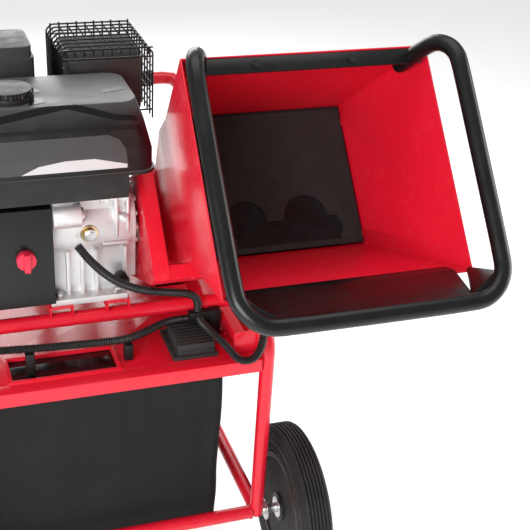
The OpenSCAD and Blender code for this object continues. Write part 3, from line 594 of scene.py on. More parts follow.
def tube_tree(name, material):
    """A node tree that sweeps a round tube along a line, with rings of a given depth and pitch."""
    group = bpy.data.node_groups.new(name, "GeometryNodeTree")
    face = group.interface
    face.new_socket("Geometry", in_out="INPUT", socket_type="NodeSocketGeometry")
    for label, value in (("Radius", 0.004), ("Ring depth", 0.0), ("Pitch", 0.003), ("Spacing", 0.003)):
        socket = face.new_socket(label, in_out="INPUT", socket_type="NodeSocketFloat")
        socket.default_value = value
    sides = face.new_socket("Sides", in_out="INPUT", socket_type="NodeSocketInt")
    sides.default_value = 12
    face.new_socket("Geometry", in_out="OUTPUT", socket_type="NodeSocketGeometry")
    tree = Wire(group)
    given = tree.add("NodeGroupInput")
    line = tree.add("GeometryNodeMeshToCurve", None, {0: given.out("Geometry")})
    steps = {"Curve": line, "Length": given.out("Spacing")}
    even = tree.add("GeometryNodeResampleCurve", {"mode": "LENGTH"}, steps)
    walked = tree.add("GeometryNodeSplineParameter").out("Length")
    turn = tree.math("DIVIDE", walked, given.out("Pitch")) * math.tau
    grown = 1.0 - given.out("Ring depth") * (0.5 - tree.math("SINE", turn) * 0.5)
    ring_settings = {"mode": "RADIUS"}
    ring_inputs = {"Resolution": given.out("Sides"), "Radius": given.out("Radius")}
    ring = tree.add("GeometryNodeCurvePrimitiveCircle", ring_settings, ring_inputs)
    ends = {"Curve": even, "Profile Curve": ring, "Scale": grown, "Fill Caps": True}
    skin = tree.add("GeometryNodeCurveToMesh", None, ends)
    soft = tree.add("GeometryNodeSetShadeSmooth", None, {"Geometry": skin})
    whole = tree.add("GeometryNodeRealizeInstances", None, {"Geometry": soft})
    painted = tree.add("GeometryNodeSetMaterial", None, {"Geometry": whole, "Material": material})
    result = group.nodes.new("NodeGroupOutput")
    group.links.new(painted.socket, result.inputs["Geometry"])
    return group


def set_inputs(modifier, **values):
    """Sets a node modifier's inputs by name, through their identifiers."""
    for item in modifier.node_group.interface.items_tree:
        key = item.name.replace(" ", "_")
        if item.item_type == "SOCKET" and item.in_out == "INPUT" and key in values:
            modifier[item.identifier] = values[key]


def line_piece(name, lines, group, body, smooth_angle=40, **values):
    """A mesh of one or more lines run through a node tree, as a plain mesh that rides on a body."""
    points = [point for line in lines for point in line]
    edges = []
    start = 0
    for line in lines:
        edges += [(start + k, start + k + 1) for k in range(len(line) - 1)]
        start += len(line)
    data = bpy.data.meshes.new(name)
    data.from_pydata(points, edges, [])
    piece = bpy.data.objects.new(name, data)
    bpy.context.scene.collection.objects.link(piece)
    nodes = piece.modifiers.new("nodes", "NODES")
    nodes.node_group = group
    set_inputs(nodes, **values)
    settle(piece)
    piece.data.set_sharp_from_angle(angle=math.radians(smooth_angle))
    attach(piece, body)
    return piece


cloth_tube = tube_tree("cloth_tube", weave_finish)
welts = []
for column in seam_columns:
    out = Vector((column[0].x - (bag_low.x + bag_high.x) / 2, column[0].y - (bag_low.y + bag_high.y) / 2, 0))
    welts.append([point + out.normalized() * 0.0012 for point in column])
welt = line_piece("bag_corner_seams", welts, cloth_tube, "root", Radius=0.0026, Sides=10, Spacing=0.008)
hem_line = [cloth_points[k] + Vector((0, 0, -0.002)) for k in range(hem_points)]
hem_line.append(hem_line[0])
rim_line = line_piece("bag_hem", [hem_line], cloth_tube, "root", Radius=0.0034, Sides=10, Spacing=0.010)

# ---- Wheels ----
# Solid ribbed rubber tyres on moulded black rims with twelve ribs, which turn on one steel axle.
# Zinc washers and pressed caps keep them on it.
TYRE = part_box("tyre_right")
TYRE_R = (TYRE[1].z - TYRE[0].z) / 2
TYRE_W = TYRE[1].x - TYRE[0].x
GROOVE = 0.0044


def tyre_outline():
    """Half round the tyre's section: bead, wall with a step, shoulder, five ribs, and back."""
    half = TYRE_W / 2
    wall = [(-half + 0.005, 0.118), (-half + 0.0012, 0.121), (-half + 0.0006, 0.130)]
    wall += [(-half + 0.0022, 0.1315)]
    wall += [(-half + 0.0004, 0.136), (-half, 0.148), (-half + 0.0018, 0.1495), (-half + 0.0012, 0.158)]
    wall += [(-half + 0.003, 0.1645), (-half + 0.0065, TYRE_R - 0.0035), (-half + 0.0105, TYRE_R - 0.0008)]
    ribs = []
    for k in range(5):
        start = -half + 0.0125 + k * (TYRE_W - 0.025) / 5
        end = start + (TYRE_W - 0.025) / 5
        rise = ((0.0010, TYRE_R - GROOVE), (0.0016, TYRE_R - 0.0006), (0.0026, TYRE_R))
        ribs += [(start + x, r) for x, r in rise] + [(end - x, r) for x, r in reversed(rise)]
    return wall + ribs + [(-x, r) for x, r in reversed(wall)]


def tyre_finish():
    """Dark grey rubber, dusty on the wall and scuffed on the ribs."""
    material, tree, shader, here = blank_material("tyre_rubber")
    dust = mottle(tree, here, 16, 6, 0.4, 0.75)
    plug(tree, shader, "Base Color", between(tree, dust * 0.55, grey(0.012), grey(0.036)))
    shader.inputs["Specular IOR Level"].default_value = 0.35
    plug(tree, shader, "Roughness", 0.62 + mottle(tree, here, 120, 4) * 0.2)
    grain = tree.add("ShaderNodeTexNoise", None, {"Vector": here, "Scale": 700.0, "Detail": 4.0})
    bumped(tree, shader, grain, 0.3, 0.0007)
    return material


def scatter_tree(name, material):
    """A node tree that puts a short prism on each point, standing along one direction."""
    group = bpy.data.node_groups.new(name, "GeometryNodeTree")
    face = group.interface
    face.new_socket("Geometry", in_out="INPUT", socket_type="NodeSocketGeometry")
    for label, value in (("Radius", 0.005), ("Height", 0.004)):
        face.new_socket(label, in_out="INPUT", socket_type="NodeSocketFloat").default_value = value
    face.new_socket("Sides", in_out="INPUT", socket_type="NodeSocketInt").default_value = 6
    face.new_socket("Direction", in_out="INPUT", socket_type="NodeSocketVector")
    face.new_socket("Seed", in_out="INPUT", socket_type="NodeSocketInt").default_value = 4
    face.new_socket("Geometry", in_out="OUTPUT", socket_type="NodeSocketGeometry")
    tree = Wire(group)
    given = tree.add("NodeGroupInput")
    shape = {"Vertices": given.out("Sides"), "Radius": given.out("Radius"), "Depth": given.out("Height")}
    head = tree.add("GeometryNodeMeshCylinder", None, shape)
    wider = {"Vertices": 24, "Radius": given.out("Radius") * 1.3, "Depth": given.out("Height") * 0.35}
    washer = tree.add("GeometryNodeMeshCylinder", None, wider)
    both = group.nodes.new("GeometryNodeJoinGeometry")
    group.links.new(head.socket, both.inputs[0])
    group.links.new(washer.socket, both.inputs[0])
    chance = {"Max": 1.05, "Seed": given.out("Seed")}
    spin = tree.add("FunctionNodeRandomValue", {"data_type": "FLOAT"}, chance, 1)
    turn = tree.add("ShaderNodeCombineXYZ", None, {"Z": spin})
    facing = {"Rotation": turn, "Vector": given.out("Direction")}
    upright = tree.add("FunctionNodeAlignRotationToVector", {"axis": "Z"}, facing)
    sites = {"Points": given.out("Geometry"), "Instance": Wire(group, both.outputs[0]), "Rotation": upright}
    placed = tree.add("GeometryNodeInstanceOnPoints", None, sites)
    whole = tree.add("GeometryNodeRealizeInstances", None, {"Geometry": placed})
    painted = tree.add("GeometryNodeSetMaterial", None, {"Geometry": whole, "Material": material})
    result = group.nodes.new("NodeGroupOutput")
    group.links.new(painted.socket, result.inputs["Geometry"])
    return group


tyre_coat = tyre_finish()


def moulded_plastic(name, low, high, rough, grain_scale=600.0):
    """Injection-moulded plastic with a fine spark-eroded grain."""
    material, tree, shader, here = blank_material(name)
    plug(tree, shader, "Base Color", between(tree, mottle(tree, here, 12, 5), grey(low), grey(high)))
    plug(tree, shader, "Roughness", rough + mottle(tree, here, 50, 4) * 0.12)
    shader.inputs["Specular IOR Level"].default_value = 0.3
    grain = tree.add("ShaderNodeTexNoise", None, {"Vector": here, "Scale": grain_scale, "Detail": 3.0})
    bumped(tree, shader, grain, 0.16, 0.0004)
    return material


plastic = moulded_plastic("black_plastic", 0.006, 0.011, 0.36)
for side in ("right", "left"):
    low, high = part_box("tyre_" + side)
    tyre = turned("tyre_ribbed_" + side, (low + high) / 2, (1, 0, 0), tyre_outline(), 128, "wheel_" + side)
    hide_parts("tyre_" + side)
    finish_with(tyre, tyre_coat)
    finish_with(rounded_copy("rim_" + side, 0.0014, 3), plastic)
finish_with(rounded_copy("hub_caps", 0.0007), zinc)
finish_with(rounded_copy("axle_shaft", 0.0012), zinc)

# ---- Cutting unit ----
# A welded red housing round a steel drum with bolted knives. It runs in two cast bearings and is driven
# by a belt behind a bolted guard. The chips leave through a chute into the bag.


def machined_steel():
    """Bare turned steel, brushed by the chips, with a little brown in the scratches."""
    material, tree, shader, here = blank_material("machined_steel")
    strokes = {"Vector": here, "Scale": 260.0, "Distortion": 3.0}
    lines = tree.add("ShaderNodeTexWave", {"bands_direction": "X"}, strokes)
    stain = mottle(tree, here, 30, 6, 0.55, 0.8)
    plug(tree, shader, "Base Color", between(tree, stain * 0.5, grey(0.55), (0.34, 0.28, 0.23, 1)))
    plug(tree, shader, "Roughness", 0.26 + lines * 0.12 + stain * 0.2)
    shader.inputs["Metallic"].default_value = 1.0
    return material


def cast_iron():
    """Dark grey as-cast iron with a coarse skin."""
    material, tree, shader, here = blank_material("cast_iron")
    plug(tree, shader, "Base Color", between(tree, mottle(tree, here, 22, 5), grey(0.10), grey(0.17)))
    shader.inputs["Metallic"].default_value = 0.7
    shader.inputs["Roughness"].default_value = 0.58
    skin = tree.add("ShaderNodeTexNoise", None, {"Vector": here, "Scale": 480.0, "Detail": 5.0})
    bumped(tree, shader, skin, 0.4, 0.0008)
    return material


steel = machined_steel()
for name, radius in (("cutting_chamber", 0.0010), ("chamber_lid", 0.0008), ("discharge_chute", 0.0008)):
    finish_with(rounded_copy(name, radius, 2), red_coat)
finish_with(rounded_copy("belt_guard", 0.0030, 4), red_coat)
for name in ("cutting_drum", "drum_knives", "anvil_knife", "crank_pulley", "drum_pulley"):
    finish_with(rounded_copy(name, 0.0005), steel)
finish_with(rounded_copy("drum_bearings", 0.0012), cast_iron())
finish_with(rounded_copy("drive_belt", 0.0004), rubber)
heads = scatter_tree("screw_heads", zinc)


def screws(name, points, direction, radius, height, body="root", group=heads):
    """Screw heads at points, all facing one way."""
    data = bpy.data.meshes.new(name)
    data.from_pydata(points, [], [])
    piece = bpy.data.objects.new(name, data)
    bpy.context.scene.collection.objects.link(piece)
    nodes = piece.modifiers.new("nodes", "NODES")
    nodes.node_group = group
    set_inputs(nodes, Radius=radius, Height=height, Direction=direction)
    settle(piece)
    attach(piece, body)
    return piece


guard_low, guard_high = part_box("belt_guard")
guard_mid = (guard_low + guard_high) / 2
guard_at = [(guard_mid.y - 0.05, guard_low.z + 0.06), (guard_mid.y + 0.05, guard_low.z + 0.06)]
guard_at += [(guard_mid.y - 0.05, guard_high.z - 0.09), (guard_mid.y + 0.05, guard_high.z - 0.09)]
guard_points = [(guard_high.x + 0.0006, y, z) for y, z in guard_at]
screws("belt_guard_screws", guard_points, (1, 0, 0), 0.0055, 0.0042)

# ---- Feed hopper ----
# Folded and seam-welded red sheet with a black strip, apron and gussets bolted round its mouth.
# A bent black tube guards the mouth, and a rubber curtain with a lobed cut-out hangs in the throat.
HOPPER = on_trolley(0.307, 0.058, 0.824)
HOPPER_TILT = math.radians(42)
THROAT = ((-0.182, 0.154), (-0.070, 0.200))
MOUTH = ((-0.2125, 0.2125), (-0.196, 0.196))
MOUTH_DEPTH = 0.266
SHEET = 0.002


def in_hopper(x, u, z):
    """A point in the hopper's own frame: x right, u up its throat's face, z out of the mouth."""
    s, c = math.sin(HOPPER_TILT), math.cos(HOPPER_TILT)
    return HOPPER + Vector((x, u * s - z * c, u * c + z * s))


def hopper_wall(side, level, z):
    """The inner corner of the hopper at depth z: side is 0 left or 1 right, level 0 low or 1 high."""
    share = z / MOUTH_DEPTH
    x = THROAT[0][side] * (1 - share) + MOUTH[0][side] * share
    u = THROAT[1][level] * (1 - share) + MOUTH[1][level] * share
    return x - (2 * side - 1) * SHEET, u - (2 * level - 1) * SHEET


def satin_black(name="satin_black", level=0.005, rough=0.26):
    """Black powder coat with a satin sheen and dust in it."""
    material, tree, shader, here = blank_material(name)
    dust = mottle(tree, here, 26, 6, 0.45, 0.8)
    plug(tree, shader, "Base Color", between(tree, dust * 0.4, grey(level), grey(level * 2.2)))
    plug(tree, shader, "Roughness", rough + mottle(tree, here, 9, 4) * 0.08 + dust * 0.08)
    shader.inputs["Specular IOR Level"].default_value = 0.36
    peel = tree.add("ShaderNodeTexNoise", None, {"Vector": here, "Scale": 500.0, "Detail": 2.0})
    bumped(tree, shader, peel, 0.06, 0.0002)
    return material


black_coat = satin_black()
finish_with(rounded_copy("hopper_shell", 0.0008, 2), red_coat)
finish_with(rounded_copy("hopper_trim", 0.0008, 2), black_coat)
black_zinc = satin_black("black_zinc", 0.008, 0.3)
finish_with(rounded_copy("hopper_bolts", 0.0007), black_zinc)
curtain_rubber = soft_rubber("curtain_rubber", 0.016, 0.026)
curtain = finish_with(rounded_copy("rubber_curtain", 0.0006, 2), curtain_rubber)
# painted shade: the back layer's front faces, seen through the lobed cut-out, get a near-black copy of the
# rubber for the shade deep in the throat
curtain.data.materials.append(soft_rubber("curtain_backing", 0.0005, 0.0012))
out_of_mouth = in_hopper(0, 0, 1) - in_hopper(0, 0, 0)
for face in curtain.data.polygons:
    depth = (face.center - HOPPER).dot(out_of_mouth)
    face.material_index = 1 if depth < 0.0085 and face.normal.dot(out_of_mouth) > 0.9 else 0
finish_with(rounded_copy("hopper_hinge_pin", 0.0008), zinc)
finish_with(rounded_copy("hopper_latch", 0.0022, 3), plastic)


def smooth_tube(node):
    """The CAD tube's skin, merged and subdivided once, so that its bends read as round."""
    work = bmesh.new()
    work.from_mesh(frame["nodes"][node].data)
    bmesh.ops.remove_doubles(work, verts=work.verts, dist=0.00002)
    mesh = bpy.data.meshes.new(node + "_smooth")
    work.to_mesh(mesh)
    work.free()
    piece = bpy.data.objects.new(node + "_smooth", mesh)
    bpy.context.scene.collection.objects.link(piece)
    piece.modifiers.new("smooth", "SUBSURF").levels = 1
    settle(piece, 60)
    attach(piece, frame["nodes"][node]["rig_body"])
    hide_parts(node)
    return piece


finish_with(smooth_tube("guard_bar"), black_coat)
strip_heads = [in_hopper(x, 0.179, MOUTH_DEPTH + 0.0012) for x in (-0.090, 0.075)]
black_heads = scatter_tree("black_screw_heads", black_zinc)
screws("strip_screws", strip_heads, out_of_mouth, 0.0058, 0.0036, "hopper", black_heads)


def slab(name, corners, thick, body):
    """A flat plate: four corners, and how far it stands along their normal."""
    a, b, c, d = (Vector(corner) for corner in corners)
    out = (b - a).cross(d - a).normalized() * thick
    points = [a, b, c, d, a + out, b + out, c + out, d + out]
    faces = [(0, 3, 2, 1), (4, 5, 6, 7), (0, 1, 5, 4), (1, 2, 6, 5), (2, 3, 7, 6), (3, 0, 4, 7)]
    data = bpy.data.meshes.new(name)
    data.from_pydata(points, [], faces)
    piece = bpy.data.objects.new(name, data)
    bpy.context.scene.collection.objects.link(piece)
    edge = piece.modifiers.new("edges", "BEVEL")
    edge.width = abs(thick) * 0.35
    edge.segments = 2
    settle(piece, 30)
    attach(piece, body)
    return piece


FOLD = 0.030
for side, label in ((0, "left"), (1, "right")):
    # the side wall's folded flange stands a little proud of it, above the lower corner
    runs = []
    for z in (0.004, MOUTH_DEPTH - 0.004):
        x, u = hopper_wall(side, 0, z)
        face = x - (2 * side - 1) * 0.0002
        runs.append((in_hopper(face, u + 0.001, z), in_hopper(face, u + FOLD, z)))
    (low_in, top_in), (low_out, top_out) = runs
    order = (low_in, top_in, top_out, low_out) if side == 0 else (low_in, low_out, top_out, top_in)
    fold = slab("hopper_fold_" + label, order, 0.0014, "hopper")
    finish_with(fold, red_coat)
seams = []
for side, level in ((0, 0), (1, 0), (0, 1), (1, 1)):
    seam = []
    for k in range(40):
        z = 0.006 + (MOUTH_DEPTH - 0.014) * k / 39
        x, u = hopper_wall(side, level, z)
        seam.append(in_hopper(x, u, z))
    seams.append(seam)
seam_tree = tube_tree("seam_bead", red_coat)
seam_values = {"Radius": 0.0022, "Ring_depth": 0.18, "Pitch": 0.0042, "Spacing": 0.0011, "Sides": 8}
seam_piece = line_piece("hopper_seams", seams, seam_tree, "hopper", 50, **seam_values)

# ---- Engine castings ----
# Die-cast aluminium: crankcase with its side cover, inclined finned cylinder, carburettor and starter.
# The case is bolted to the rails, and the cover to the case.
ENGINE = on_trolley(-0.036, 0.2235, 0.656)


def on_engine(x, y, z):
    """A point given from the middle of the engine's base."""
    return ENGINE + Vector((x, y, z))


def die_cast_aluminium():
    """Bright die-cast skin: fine grain, flow marks and a little oil dirt in the hollows."""
    material, tree, shader, here = blank_material("die_cast_aluminium")
    flow = mottle(tree, here, 18, 6, 0.3, 0.7)
    dirt = mottle(tree, here, 34, 7, 0.6, 0.85)
    tone = between(tree, flow, grey(0.60), grey(0.80))
    plug(tree, shader, "Base Color", between(tree, dirt * 0.45, tone, (0.20, 0.18, 0.16, 1)))
    plug(tree, shader, "Roughness", 0.42 + flow * 0.14 + dirt * 0.2)
    shader.inputs["Metallic"].default_value = 0.75
    skin = tree.add("ShaderNodeTexNoise", None, {"Vector": here, "Scale": 650.0, "Detail": 5.0})
    bumped(tree, shader, skin, 0.3, 0.0005)
    return material


def block(name, low, high, width, material, body="root"):
    """A rounded box between two corners."""
    low, high = Vector(low), Vector(high)
    corners = [(x, y, z) for z in (low.z, high.z) for y in (low.y, high.y) for x in (low.x, high.x)]
    faces = [(0, 2, 3, 1), (4, 5, 7, 6), (0, 1, 5, 4), (2, 6, 7, 3), (0, 4, 6, 2), (1, 3, 7, 5)]
    data = bpy.data.meshes.new(name)
    data.from_pydata(corners, [], faces)
    piece = bpy.data.objects.new(name, data)
    bpy.context.scene.collection.objects.link(piece)
    edge = piece.modifiers.new("edges", "BEVEL")
    edge.width = width
    edge.segments = 3
    settle(piece, 40)
    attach(piece, body)
    return finish_with(piece, material)


aluminium = die_cast_aluminium()
for name, radius in (("engine_block", 0.0030), ("engine_cover", 0.0020), ("cylinder_fins", 0.0008)):
    finish_with(rounded_copy(name, radius, 3), aluminium)
for name, radius in (("carburettor", 0.0024), ("starter_motor", 0.0022)):
    finish_with(rounded_copy(name, radius, 3), aluminium)
lugs = (
    ("case_rib_front", (0.052, -0.096, 0.120), (0.060, -0.080, 0.208), 0.003),
    ("case_rib_right", (0.074, -0.094, 0.128), (0.081, -0.080, 0.206), 0.003),
    ("case_pad", (0.026, -0.093, 0.190), (0.083, -0.079, 0.205), 0.004),
    ("case_boss", (0.060, -0.099, 0.150), (0.080, -0.082, 0.166), 0.005),
    ("case_foot_rib", (0.030, -0.095, 0.104), (0.080, -0.086, 0.112), 0.003),
    ("governor_case", (-0.044, -0.091, 0.118), (0.000, -0.080, 0.160), 0.006),
)
for name, low, high, width in lugs:
    block(name, on_engine(*low), on_engine(*high), width, aluminium, "root")
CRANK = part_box("crank_pulley")
crank_mid = (CRANK[0] + CRANK[1]) / 2
cover_spots = []
for k in range(8):
    turn = math.radians(45 * k + 22)
    around = Vector((0, math.cos(turn), math.sin(turn))) * 0.071
    cover_spots.append(Vector((ENGINE.x + 0.0954, crank_mid.y, crank_mid.z)) + around)
screws("cover_screws", cover_spots, (1, 0, 0), 0.0048, 0.0046)
front_spots = [on_engine(0.038, -0.0955, 0.1975), on_engine(0.070, -0.0955, 0.1975)]
front_spots += [on_engine(0.070, -0.1010, 0.158)]
screws("case_screws", front_spots, (0, -1, 0), 0.0046, 0.0046)


def yellow_passivate():
    """Yellow-passivated zinc, which looks like brass."""
    material, tree, shader, here = blank_material("yellow_passivate")
    tint = between(tree, mottle(tree, here, 60), (0.62, 0.45, 0.17, 1), (0.75, 0.62, 0.40, 1))
    plug(tree, shader, "Base Color", tint)
    shader.inputs["Metallic"].default_value = 1.0
    shader.inputs["Roughness"].default_value = 0.28
    return material


yellow = yellow_passivate()
collar = [(-0.008, 0.006), (-0.008, 0.0155), (-0.0065, 0.0165), (-0.001, 0.0165), (0.0, 0.0155), (0.0, 0.010)]
collar += [(0.003, 0.009)]
ring = turned("plug_collar", on_engine(0.006, -0.094, 0.132), (0, -1, 0), collar, 40)
finish_with(ring, yellow)
screws("plug_nut", [on_engine(0.006, -0.101, 0.132)], (0, -1, 0), 0.0085, 0.008)

# ---- Fan shroud and recoil starter ----
# Pressed black steel over the flywheel, with a slotted cover that holds the starter's rope and reel.
shroud = rounded_copy("fan_shroud", 0.0040, 4)
finish_with(shroud, black_coat)
finish_with(rounded_copy("recoil_starter", 0.0026, 3), black_coat)
finish_with(rounded_copy("recoil_handle", 0.0028, 3), plastic)
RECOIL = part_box("recoil_starter")
recoil_mid = (RECOIL[0] + RECOIL[1]) / 2
recoil_spots = []
for k in range(6):
    turn = math.radians(60 * k + 15)
    spot = Vector((0, math.cos(turn), math.sin(turn))) * 0.104
    recoil_spots.append(Vector((RECOIL[0].x + 0.0078, recoil_mid.y + spot.y, recoil_mid.z + spot.z)))
screws("recoil_screws", recoil_spots, (-1, 0, 0), 0.0042, 0.003)

# ---- Fuel tank ----
# A pressed black tank with a rolled seam on top of the engine, a plain grey panel let into its front and
# a plate hung below it. The ribbed cap screws into its neck.


def decal(name, node, outline, across, up, toward, lift, step=0.006):
    """A thin skin laid on a node: an outline drawn in a plane, cut fine and pushed along one direction."""
    across, up, toward = (Vector(v).normalized() for v in (across, up, toward))
    work = bmesh.new()
    work.faces.new([work.verts.new(ENGINE + across * a + up * b - toward * 0.6) for a, b in outline])
    bmesh.ops.triangulate(work, faces=work.faces)
    for cut in range(9):
        long_edges = [e for e in work.edges if e.calc_length() > step]
        if not long_edges:
            break
        bmesh.ops.subdivide_edges(work, edges=long_edges, cuts=1, use_grid_fill=False)
        bmesh.ops.triangulate(work, faces=work.faces)
    target = node.data
    missed = []
    tree = BVHTree.FromPolygons([v.co for v in target.vertices], [p.vertices for p in target.polygons])
    for vertex in work.verts:
        spot, normal, face, distance = tree.ray_cast(vertex.co, toward)
        if spot is None:
            missed.append(vertex)
        else:
            vertex.co = spot - toward * lift
    bmesh.ops.delete(work, geom=missed, context="VERTS")
    work.normal_update()
    if sum((f.normal.dot(toward) for f in work.faces)) > 0:
        bmesh.ops.reverse_faces(work, faces=work.faces)
    mesh = bpy.data.meshes.new(name)
    work.to_mesh(mesh)
    work.free()
    mesh.shade_smooth()
    piece = bpy.data.objects.new(name, mesh)
    bpy.context.scene.collection.objects.link(piece)
    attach(piece, "root")
    return piece


def tank_paint():
    """Satin black paint; faces turned up are painted lighter grey, a painted reflection of the bright ceiling.
    """
    material, tree, shader, here = blank_material("tank_paint")
    dust = mottle(tree, here, 30, 6, 0.45, 0.8)
    # painted reflection: the base colour runs from black to grey as a face turns up, standing in for the
    # mirrored ceiling
    normal = tree.add("ShaderNodeNewGeometry").out("Normal")
    upward = tree.add("ShaderNodeSeparateXYZ", None, {"Vector": normal}).out("Z")
    limits = {"Value": upward, "From Min": 0.35, "From Max": 0.95}
    level = tree.add("ShaderNodeMapRange", {"clamp": True}, limits)
    shade = between(tree, level, grey(0.006), grey(0.085))
    plug(tree, shader, "Base Color", between(tree, dust * 0.2, shade, grey(0.060)))
    plug(tree, shader, "Roughness", 0.34 + mottle(tree, here, 7, 4) * 0.08)
    shader.inputs["Specular IOR Level"].default_value = 0.4
    return material


def printed_panel(name, low, high):
    """Flat printed plastic film."""
    material, tree, shader, here = blank_material(name)
    plug(tree, shader, "Base Color", between(tree, mottle(tree, here, 5), grey(low), grey(high)))
    shader.inputs["Roughness"].default_value = 0.42
    return material


tank = rounded_copy("fuel_tank", 0.0050, 4, 28)
finish_with(tank, tank_paint())
gloss = satin_black("gloss_black", 0.003, 0.24)
panel = printed_panel("panel_grey", 0.040, 0.048)
pale = printed_panel("panel_pale", 0.50, 0.56)
FRONT = ((1, 0, 0), (0, 0, 1), (0, 1, 0))
DOWN = ((1, 0, 0), (0, 1, 0), (0, 0, -1))
SLANT = ((1, 0, 0), (0, 0.707, 0.707), (0, 0.707, -0.707))
panel_line = [(-0.268, 0.276), (-0.268, 0.336), (0.034, 0.336), (0.052, 0.328), (0.064, 0.310)]
panel_line += [(0.068, 0.276)]
swoosh_line = [(-0.115, 0.2764), (-0.085, 0.290), (-0.040, 0.2965), (0.010, 0.2965), (0.066, 0.2830)]
swoosh_line += [(0.066, 0.2764)]
band_line = [(-0.270, 0.346), (-0.270, 0.352), (-0.040, 0.352), (0.078, 0.350), (0.090, 0.345)]
band_line += [(0.090, 0.339), (0.076, 0.343), (-0.040, 0.345)]
# the pocket, hollow and groove outlines are near-black patches on the tank's painted-lighter top: painted
# shade in its recesses
pocket_shade_line = [(0.036, -0.052), (0.040, -0.066), (0.082, -0.054), (0.080, -0.040)]
hollow_shade_line = [(-0.092, -0.106), (-0.060, -0.094), (-0.062, -0.078), (-0.080, -0.066)]
groove_shade_line = [(-0.090, -0.050), (-0.060, -0.040), (-0.070, -0.026), (-0.096, -0.030)]
skins = (
    ("tank_panel", panel_line, FRONT, 0.0006, panel),
    ("tank_swoosh", swoosh_line, FRONT, 0.0010, pale),
    ("tank_band", band_line, FRONT, 0.0008, gloss),
    # painted shade in the recesses of the tank's top
    ("tank_pocket", pocket_shade_line, DOWN, 0.0006, gloss),
    ("cap_pocket", hollow_shade_line, DOWN, 0.0006, gloss),
    ("cap_groove", groove_shade_line, DOWN, 0.0006, gloss),
)
for name, outline, (across, up, toward), lift, material in skins:
    finish_with(decal(name, tank, outline, across, up, toward, lift), material)
chevron = [(-0.270, 0.146), (-0.270, 0.158), (-0.030, 0.196), (0.050, 0.170), (0.086, 0.166), (0.086, 0.158)]
chevron += [(0.050, 0.160), (-0.030, 0.184)]
finish_with(decal("tank_chevron", tank, chevron, *SLANT, 0.0009), gloss)
finish_with(rounded_copy("fuel_cap", 0.0022, 3), plastic)
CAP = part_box("fuel_cap")
cap_mid = (CAP[0] + CAP[1]) / 2
grips = []
for k in range(36):
    turn = math.tau * k / 36
    outward = Vector((math.cos(turn), math.sin(turn), 0))
    foot = Vector((cap_mid.x, cap_mid.y, CAP[1].z - 0.0085)) + outward * 0.0384
    grips.append([foot, foot + Vector((0, 0, 0.007))])
rib_tree = tube_tree("cap_rib", plastic)
ribs = line_piece("fuel_cap_ribs", grips, rib_tree, "fuel_filler_cap", Radius=0.0016, Sides=8, Spacing=0.002)

# ---- Air cleaner, muffler and its cage ----
# A moulded two-part air cleaner with a wing nut, and a pressed muffler inside a spot-welded wire cage.
cleaner_plastic = moulded_plastic("cleaner_plastic", 0.030, 0.040, 0.42)
finish_with(rounded_copy("air_cleaner", 0.0060, 4, 28), cleaner_plastic)


def heat_paint():
    """Matt heat-proof paint, browned where it runs hot."""
    material, tree, shader, here = blank_material("heat_paint")
    burnt = mottle(tree, here, 14, 6, 0.5, 0.8)
    plug(tree, shader, "Base Color", between(tree, burnt * 0.5, grey(0.020), (0.060, 0.042, 0.032, 1)))
    plug(tree, shader, "Roughness", 0.5 + burnt * 0.25)
    skin = tree.add("ShaderNodeTexNoise", None, {"Vector": here, "Scale": 520.0, "Detail": 5.0})
    bumped(tree, shader, skin, 0.3, 0.0005)
    return material


hot_black = heat_paint()
finish_with(rounded_copy("muffler", 0.0030, 3), hot_black)
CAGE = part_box("muffler_guard")
WIRE = 0.0017


def cage_wires():
    """The cage's wires: hoops over the top and down both sides, and runners tied across them."""
    low, high = CAGE[0] + Vector((WIRE, WIRE, WIRE)), CAGE[1] - Vector((WIRE, WIRE, WIRE))
    lines = []
    for k in range(9):
        y = low.y + (high.y - low.y) * k / 8
        lines.append([(low.x, y, low.z), (low.x, y, high.z - 0.010), (low.x + 0.010, y, high.z),
                      (high.x - 0.010, y, high.z), (high.x, y, high.z - 0.010), (high.x, y, low.z)])
    for k in range(10):
        x = low.x + 0.008 + (high.x - low.x - 0.016) * k / 9
        rise = 0.0035 if k % 2 else 0.0015
        under = high.z - WIRE * 2
        lines.append([(x, low.y - 0.002, high.z - 0.012), (x, low.y, under), (x, high.y, under),
                      (x, high.y + 0.002, high.z + rise)])
        lines.append([(x, high.y, high.z), (x, high.y, low.z)])
    for k in range(1, 8):
        z = low.z + (high.z - low.z) * k / 8
        for x in (low.x + WIRE * 2, high.x - WIRE * 2):
            lines.append([(x, low.y, z), (x, high.y, z)])
        lines.append([(low.x, high.y - WIRE * 2, z), (high.x, high.y - WIRE * 2, z)])
    for k in (0, 1, 7):
        z = high.z - (high.z - low.z) * k / 8
        lines.append([(low.x, low.y, z), (high.x, low.y, z)])
    fine = []
    for line in lines:
        points = [Vector(p) for p in line]
        steps = [points[0]]
        for a, b in zip(points, points[1:]):
            count = max(1, round((b - a).length / 0.012))
            steps += [a.lerp(b, j / count) for j in range(1, count + 1)]
        fine.append(steps)
    return fine


wire_tree = tube_tree("cage_wire", black_coat)
cage = line_piece("muffler_cage", cage_wires(), wire_tree, "root", Radius=WIRE, Sides=6, Spacing=0.005)
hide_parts("muffler_guard")

# ---- Engine's small parts ----
# The dipstick, the throttle and choke levers and the red stop switch. Each one turns on its own pivot.
finish_with(rounded_copy("oil_dipstick", 0.0016, 3), plastic)
finish_with(rounded_copy("throttle_lever", 0.0006), zinc)
finish_with(rounded_copy("choke_lever", 0.0008), plastic)


def red_plastic():
    """Moulded red plastic, a little translucent."""
    material, tree, shader, here = blank_material("red_plastic")
    tint = between(tree, mottle(tree, here, 30), (0.72, 0.012, 0.05, 1), (0.80, 0.02, 0.07, 1))
    plug(tree, shader, "Base Color", tint)
    shader.inputs["Roughness"].default_value = 0.34
    shader.inputs["Subsurface Weight"].default_value = 0.15
    shader.inputs["Subsurface Scale"].default_value = 0.003
    return material


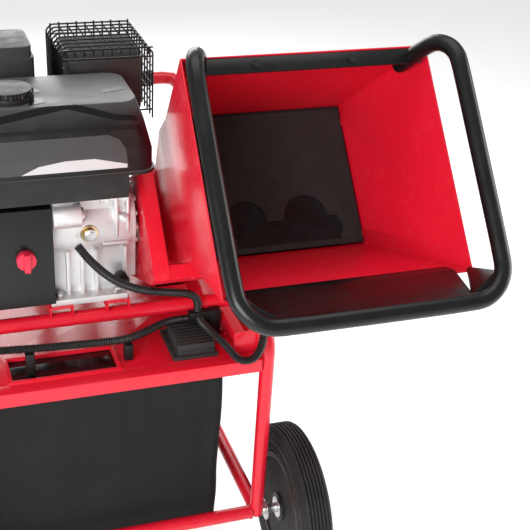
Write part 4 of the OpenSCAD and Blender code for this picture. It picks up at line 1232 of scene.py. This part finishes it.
finish_with(rounded_copy("engine_switch", 0.0020, 3), red_plastic())

# ---- Electrics on the shelf ----
# A finned regulator, the hopper's safety switch, plugs and clips, and corrugated tubes round the wires.
potting = moulded_plastic("potting_black", 0.020, 0.034, 0.5)
finish_with(rounded_copy("regulator", 0.0010, 2), potting)
finish_with(rounded_copy("safety_switch", 0.0018, 3), plastic)
finish_with(rounded_copy("cable_fittings", 0.0014, 3), plastic)


# each tube's points on the trolley, in millimetres
ROUTES = (
    ((-62, 72, 796), (-40, 66, 764), (0, 70, 720), (50, 76, 690), (105, 80, 676), (146, 86, 666),
     (165, 94, 648), (168, 96, 632), (168, 96, 619.2)),
    ((-230, 44, 620), (-180, 44, 616), (-110, 44, 612), (-40, 46, 608), (20, 50, 604), (62, 70, 603),
     (100, 92, 604), (124, 96, 605), (148.8, 96, 605)),
    ((170, 87.0, 604), (170, 72, 604), (177, 46, 603), (199, 8, 590), (214, -24, 573), (238, -36, 578),
     (252, -37, 602), (256, -36, 630), (264, -24, 649), (268, -10, 650), (268, 1.0, 650)),
)


def rounded_route(points, rounds=3):
    """Cuts a route's corners, keeping its ends, in the same way as the CAD tubes."""
    route = [on_trolley(x / 1000, y / 1000, z / 1000) for x, y, z in points]
    for cut in range(rounds):
        cutting = [route[0]]
        for a, b in zip(route, route[1:]):
            cutting += [a.lerp(b, 0.25), a.lerp(b, 0.75)]
        route = cutting + [route[-1]]
    return route


conduit_plastic = moulded_plastic("conduit_plastic", 0.012, 0.020, 0.34)
conduit_tree = tube_tree("conduit", conduit_plastic)
routes = [rounded_route(points) for points in ROUTES]
conduit_values = {"Radius": 0.0081, "Ring_depth": 0.26, "Pitch": 0.0046, "Spacing": 0.00115, "Sides": 16}
conduits = line_piece("conduits", routes, conduit_tree, "root", 70, **conduit_values)
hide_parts("wiring_conduits")

# ---- Bolts ----
# Zinc-plated hexagon bolts hold the engine to its rails and the handle to the rear posts.
finish_with(rounded_copy("frame_bolts", 0.0007), zinc)
